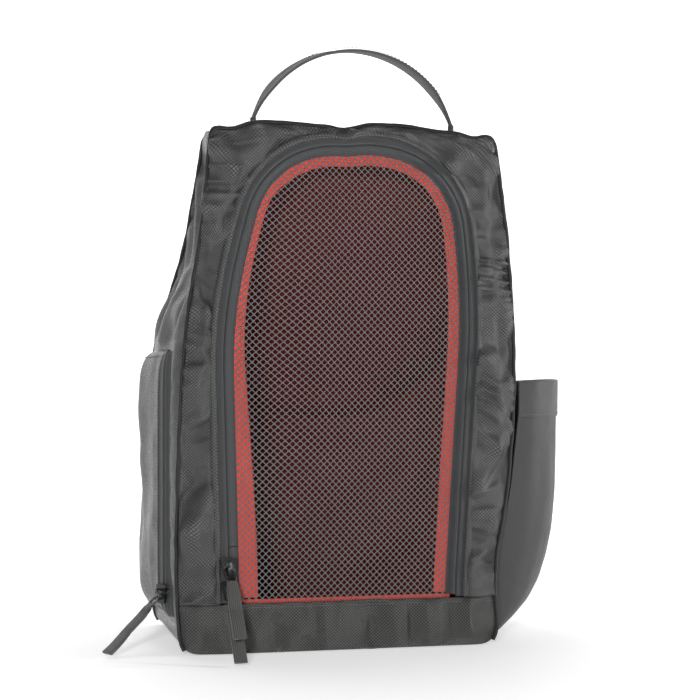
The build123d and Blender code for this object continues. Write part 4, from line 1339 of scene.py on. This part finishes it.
# --- zipped pocket on the left ------------------------------------------------------------------
def gusset_x(y, z):
    """The left gusset's surface."""
    side = np.interp(z, [0, 0.012, 0.17, 0.35], [0.104, 0.116, 0.120, 0.106])
    share = np.clip((y - front_y(z)) / np.maximum(back_y(z) - front_y(z), 1e-6), 0, 1)
    flatter = 0.25 + 0.75 * smooth_step(share, 0.22, 0.50)
    return -(side + SIDE_BULGE * np.sin(np.pi * share) * smooth_step(z, 0.015, 0.12) * flatter + 0.0010)


ZIP_BACK_Y, ZIP_FRONT_Y = -0.039, -0.0555
FACING_X = (-0.1195, -0.1275)
# The panel's outermost x at each y, from its zip to its back seam.
POCKET_FULLNESS = ((ZIP_BACK_Y, -0.1276), (-0.020, -0.1312), (0.008, -0.1342), (0.030, -0.1325),
                   (0.046, -0.1275), (POCKET_BACK, -0.1195))


def pocket_edge(z):
    """How much of its fullness the pocket keeps at a height; it closes at its top and bottom."""
    middle, half = (POCKET_LOW + POCKET_HIGH) / 2, (POCKET_HIGH - POCKET_LOW) / 2
    t = np.clip(abs(z - middle) / half, 0, 1)
    return np.maximum(1 - t**9, 0) ** 0.55


def pocket_x(y, z):
    full = np.interp(y, *zip(*POCKET_FULLNESS))
    wrinkle = 0.0022 * noise.noise(Vector((2.0, y / 0.018, z / 0.07)))
    wrinkle += 0.0014 * noise.noise(Vector((6.0, y / 0.03, z / 0.02)))
    inner = gusset_x(y, z) + 0.0004
    fade = smooth_step(y, ZIP_BACK_Y, ZIP_BACK_Y + 0.012)
    full = full - wrinkle * fade
    share = pocket_edge(z)
    return min(inner * (1 - share) + full * share, inner)


pocket_ys = np.concatenate([[ZIP_BACK_Y], np.linspace(-0.036, POCKET_BACK, 40)])
pocket_zs = np.linspace(POCKET_LOW, POCKET_HIGH, 80)
panel = np.array([[(pocket_x(y, z), y, z) for y in pocket_ys] for z in pocket_zs])
sheet_grid("zip_pocket_cloth", panel, SHELL, "shell", ["zip_pocket_panel"], depth=0.0010,
           levels=1, flip=True)

seam_y = (POCKET_BACK - 0.006, ZIP_BACK_Y + 0.003)
seam_rows = (
    ((POCKET_BACK - 0.0040, POCKET_LOW + 0.008), (POCKET_BACK - 0.0040, POCKET_HIGH - 0.008), 90),
    ((seam_y[0], POCKET_HIGH - 0.0052), (seam_y[1], POCKET_HIGH - 0.0052), 60),
    ((seam_y[1], POCKET_LOW + 0.0052), (seam_y[0], POCKET_LOW + 0.0052), 60),
)
seams = []
for first, last, count in seam_rows:
    line = np.array([(pocket_x(y, z) - 0.0002, y, z) for y, z in np.linspace(first, last, count)])
    seams.extend(stitch_row(line, (-1, 0, 0)))
solid("pocket_topstitching", seams, THREAD, "shell")


def facing_point(across, z, lift=0.0):
    """A point of the pocket's zip facing: across from 0 at the front seam to 1 at the pocket's panel."""
    y = ZIP_FRONT_Y + (ZIP_BACK_Y - ZIP_FRONT_Y) * across
    share = pocket_edge(z)
    full = FACING_X[0] + (FACING_X[1] - FACING_X[0]) * across
    x = gusset_x(y, z) * (1 - share) + full * share
    return np.array([x - 0.894 * lift, y - 0.447 * lift, z])


POCKET_TAPE = mm((0.0, -0.5), (2.6, -0.2), (4.6, 0.0), (5.6, 0.25), (6.5, 0.75), (7.5, 0.85), (8.2, 0.6),
                 (8.62, 0.0))
FACING = math.hypot(FACING_X[1] - FACING_X[0], ZIP_BACK_Y - ZIP_FRONT_Y)
zip_zs = np.linspace(POCKET_LOW + 0.002, POCKET_HIGH - 0.002, 120)
front = np.array([[facing_point(a / FACING, z, b) for a, b in POCKET_TAPE] for z in zip_zs])
rear = np.array([[facing_point(1 - a / FACING, z, b) for a, b in POCKET_TAPE[::-1]] for z in zip_zs])
for half, points in (("front", front), ("back", rear)):
    sheet_grid(f"pocket_zip_{half}_cloth", points, ZIP, "shell", [f"pocket_zip_{half}_tape"],
               depth=TAPE_DEPTH, flip=True)
turns = []
for across in (-0.00052, 0.00052):
    fine_z = np.linspace(POCKET_LOW + 0.004, POCKET_HIGH - 0.004, 560)
    line = np.array([facing_point(0.5 + across / FACING, z, 0.00012) for z in fine_z])
    turns.append(tube(line, bead_radius(line), 6))
solid("pocket_zip_turns", turns, COIL, "shell", ["pocket_zip_coils"])


# --- metal: the CAD pieces stay, with softened edges ------------------------------------------------
for name in ("upper_slider", "lower_slider", "pocket_slider", "upper_pull", "lower_pull", "pocket_pull"):
    node = frame["nodes"][name]
    dress(node, METAL)
    modify(node, "BEVEL", width=0.00022, segments=2, limit_method="ANGLE", angle_limit=0.6)
    modify(node, "WEIGHTED_NORMAL", keep_sharp=True)


# --- webbing tabs on the pulls ------------------------------------------------------------------
def hang(joint, out, angle):
    """A pull's pin, and the directions across it, down it and out of its face."""
    pin = np.array(JOINTS[joint]["pos_m"], float)
    across = np.array(JOINTS[joint]["axis"], float)
    across /= np.linalg.norm(across)
    down = np.array([0, 0, -math.cos(angle)]) + np.array(out) * math.sin(angle)
    down /= np.linalg.norm(down)
    return pin, across, down, np.cross(down, across)


def rounded(share, power):
    """A ring's share drawn out towards its ends, which makes the ring a flat strip with round edges."""
    return math.copysign(abs(share) ** power, share)


def tab(name, place, reach, body, node, wide_end=0.0):
    """A strip of webbing folded through the pull's eye and stitched to itself across two bars."""
    pin, across, down, face = place
    start, width, thick = 0.0112, 0.0096, 0.0027
    sides = 20
    rows = np.linspace(0, 1, 54)
    parts, points, flat = [], [], []
    bars = (0.13, 0.52)
    for t in rows:
        far = start + (reach - start) * t
        half = width / 2 * (0.80 + 0.20 * smooth_step(t, 0.0, 0.16)) + wide_end * t * t
        deep = thick / 2 * (1.10 - 0.10 * smooth_step(t, 0.1, 0.3))
        for bar in bars:
            deep *= 1 - 0.22 * hump(t, bar, 0.035)
        if t == 0 or t == 1:
            deep *= 0.7
        bend = 0.0010 * math.sin(2.4 * t) + 0.0006 * noise.noise(Vector((t * 3, len(name), 0)))
        for c, s in circle(sides):
            x = half * rounded(c, 0.35) * (0.955 if abs(c) > 0.93 else 1)
            n = deep * rounded(s, 0.55)
            points.append(pin + down * far + across * x + face * (n + bend))
            flat.append((x, far))
    piece = make(name, points, capped(len(rows), sides), flat)
    dress(piece, TAB_WEB)
    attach(piece, body)
    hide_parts(node)
    for bar in bars:
        for lane in (-0.0011, 0.0011):
            far = start + (reach - start) * bar + lane
            for way in (1, -1):
                a = pin + down * far - across * 0.0036 + face * way * thick * 0.44
                b = pin + down * far + across * 0.0036 + face * way * thick * 0.44
                line = np.linspace(a, b, 12)
                parts.extend(stitch_row(line, face * way, pitch=0.0012, length=0.0010, radius=0.00022))
    solid(name + "_stitches", parts, THREAD, body)


FRONT_OUT = np.array([0, -1, LEAN]) / math.hypot(1, LEAN)
FACING_OUT = np.array([-0.894427, -0.447214, 0])
for which in ("upper", "lower"):
    place = hang(f"{which}_pull_hinge", FRONT_OUT, math.radians(46))
    tab(f"{which}_tab_webbing", place, 0.060, f"{which}_pull", f"{which}_pull_tab")
place = hang("pocket_pull_hinge", FACING_OUT, math.radians(50))
tab("pocket_tab_webbing", place, 0.056, "pocket_pull", "pocket_pull_tab", 0.0012)


# --- handle -------------------------------------------------------------------------------------
HANDLE_LEAN = SLOUCH
HANDLE_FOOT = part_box("handle")[0].z
HALF_THICK = 0.0012
FOOT_HALF_WIDTH = 0.0024


def handle_line(cells):
    """The handle's middle line from its left foot to its right foot."""
    foot, half = HANDLE_FOOT + HALF_THICK, HANDLE_HALF - HALF_THICK
    flat = spaced(arc((-half, foot), (0, HANDLE_TOP - HALF_THICK), (half, foot), 200), cells)
    return np.stack([flat[:, 0] + HANDLE_LEAN, np.full(len(flat), HANDLE_Y), flat[:, 1]], 1)


line = handle_line(150)
way = frame_along(line, (0, 1, 0))[0]
grown = along(line) / along(line)[-1]
from_foot = np.minimum(grown, 1 - grown) * along(line)[-1]
foot_share = smooth_step(from_foot, 0.002, 0.032)
half_width = FOOT_HALF_WIDTH + (HANDLE_WIDTH / 2 - FOOT_HALF_WIDTH) * foot_share
rows = []
for p, w, hw, t in zip(line, way, half_width, grown):
    outward = np.cross(w, (0, 1, 0))
    outward = outward / np.linalg.norm(outward) * (-1 if outward @ (0, 0, 1) < 0 else 1)
    twist = 0.15 + 0.05 * math.sin(math.tau * t)
    side = np.array([0, math.cos(twist), 0]) + outward * math.sin(twist)
    lift = np.cross(w, side)
    lift *= 1 if lift @ outward > 0 else -1
    ring = []
    for c, s in circle(24):
        across = hw * rounded(c, 0.3)
        deep = 0.0011 * rounded(s, 0.6) + 0.0006 * (across / hw) ** 2
        ring.append(p + side * across + lift * deep)
    rows.append(ring)
rows = np.array(rows)
handle = grid("handle_webbing", rows, flat_of(rows), closed=True)
dress(handle, WEBBING)
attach(handle, "handle")
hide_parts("handle")
keep = foot_share > 0.7
up = np.cross(way[keep], (0, 1, 0))
up *= np.sign(up[:, 2:])
rim = []
for lane in (-0.0072, 0.0072):
    edge = line[keep] + (0, lane, 0) + up * 0.0014
    rim.extend(stitch_row(edge, up, pitch=0.0030, length=0.0022))
solid("handle_stitches", rim, THREAD, "handle")

feet = []
for way_out in (-1, 1):
    x = way_out * (HANDLE_HALF - HALF_THICK - 0.0001) + HANDLE_LEAN
    line = np.linspace((x, HANDLE_Y, HANDLE_FOOT - 0.0065), (x, HANDLE_Y, HANDLE_FOOT + 0.003), 12)
    feet.append(tube(line, 0.0022, 12, up=(0, 1, 0)))
solid("handle_feet", feet, WEBBING, "handle",
      blend=("shell", "handle", (0, HANDLE_Y, 0.3715), (0, HANDLE_Y, 0.3765)))
for side, way_out in (("left", -1), ("right", 1)):
    middle = way_out * HANDLE_HALF + HANDLE_LEAN
    xs = np.linspace(middle - 0.011, middle + 0.011, 14)
    ys = np.linspace(HANDLE_Y - 0.010, HANDLE_Y + 0.010, 12)
    ridge = np.interp(abs(xs - HANDLE_LEAN), [0, 0.076, 0.098], [0.374, 0.3722, 0.3670])
    ridge += ridge_wave(xs - HANDLE_LEAN) + 0.0010
    patch = np.array([[(x, y, z) for x, z in zip(xs, ridge)] for y in ys])
    sheet_grid(f"handle_anchor_{side}", patch, WEBBING, "shell",
               ["handle_anchors"] if side == "left" else [], depth=0.0011)

# --- topstitching on the shell ------------------------------------------------------------------
FRAME_ROWS = POINTS[shell["frame"]]
inner, next_in = FRAME_ROWS[:, -1], FRAME_ROWS[:, -2]
gap = np.linalg.norm(next_in - inner, axis=1)[:, None]
line = inner + (next_in - inner) * np.minimum(0.0026 / gap, 1) + (0, -0.0004, 0)
solid("zip_topstitching", stitch_row(line, OUT), THREAD, "shell")
below = POINTS[shell["top_row"]] + (0, -0.0006, -0.0028)
solid("band_topstitching", stitch_row(below, OUT, pitch=0.0030), LIGHT_THREAD, "shell")

# --- floor, light and camera --------------------------------------------------------------------
def studio():
    """A white sweep that curves up behind the bag, two soft lights at its sides and one above."""
    turn = [math.radians(a) for a in range(0, 91, 9)]
    curve = [(1.6 + 1.2 * math.sin(a), 1.2 - 1.2 * math.cos(a)) for a in turn]
    sweep = [(-6.0, 0.0), (0.6, 0.0), *curve, (2.8, 5.0)]
    points = [(x, y, z) for y, z in sweep for x in (-6, 6)]
    faces = [(2 * k, 2 * k + 1, 2 * k + 3, 2 * k + 2) for k in range(len(sweep) - 1)]
    floor = make("studio_sweep", points, faces)
    white = Shader("sweep_white", Roughness=0.6, Specular_IOR_Level=0.1)
    tone = white.noise(3.0, 2.0)
    white.link(white.mix(tone, grey(0.87), grey(0.89)), white.surface.inputs["Base Color"])
    split = white.node("SeparateXYZ")
    white.link(white.place(), split.inputs[0])
    glow = white.ramp(split.outputs[1], 0.1, 1.3, 0.40, 1.0)
    white.surface.inputs["Emission Color"].default_value = (1, 1, 1, 1)
    white.link(glow, white.surface.inputs["Emission Strength"])
    floor.data.materials.append(white.material)
    floor.location.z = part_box("base_panel")[0].z - 0.0006
    world = bpy.data.worlds.new("studio")
    bpy.context.scene.world = world
    world.use_nodes = True
    world.node_tree.nodes["Background"].inputs[0].default_value = (1, 1, 1, 1)
    world.node_tree.nodes["Background"].inputs[1].default_value = 0.035
    for name, place, size, power in (
        ("right", (1.60, -0.50, 0.50), 0.20, 16),
        ("left", (-0.55, -1.66, 0.50), 0.20, 17),
        ("top", (-0.05, 0.40, 1.80), 0.8, 7),
    ):
        data = bpy.data.lights.new(name, "AREA")
        data.energy, data.size = power, size
        light = bpy.data.objects.new(name, data)
        light.location = place
        light.rotation_euler = (Vector((0, 0, 0.2)) - Vector(place)).to_track_quat("-Z", "Y").to_euler()
        bpy.context.scene.collection.objects.link(light)


def camera():
    """Level with the bag's lower half and turned to its left side, as a catalogue view."""
    data = bpy.data.cameras.new("camera")
    data.lens, data.sensor_width = 82, 36
    view = bpy.data.objects.new("camera", data)
    turn, away = math.radians(-13.5), 1.13
    target = Vector((0.004, FRONT_Y, 0.185))
    view.location = target + Vector((math.sin(turn) * away, -math.cos(turn) * away, 0))
    view.rotation_euler = (math.radians(90), 0, turn)
    data.shift_y = 0.056
    bpy.context.scene.collection.objects.link(view)
    bpy.context.scene.camera = view


studio()
camera()
bpy.context.scene.view_settings.view_transform = "Standard"
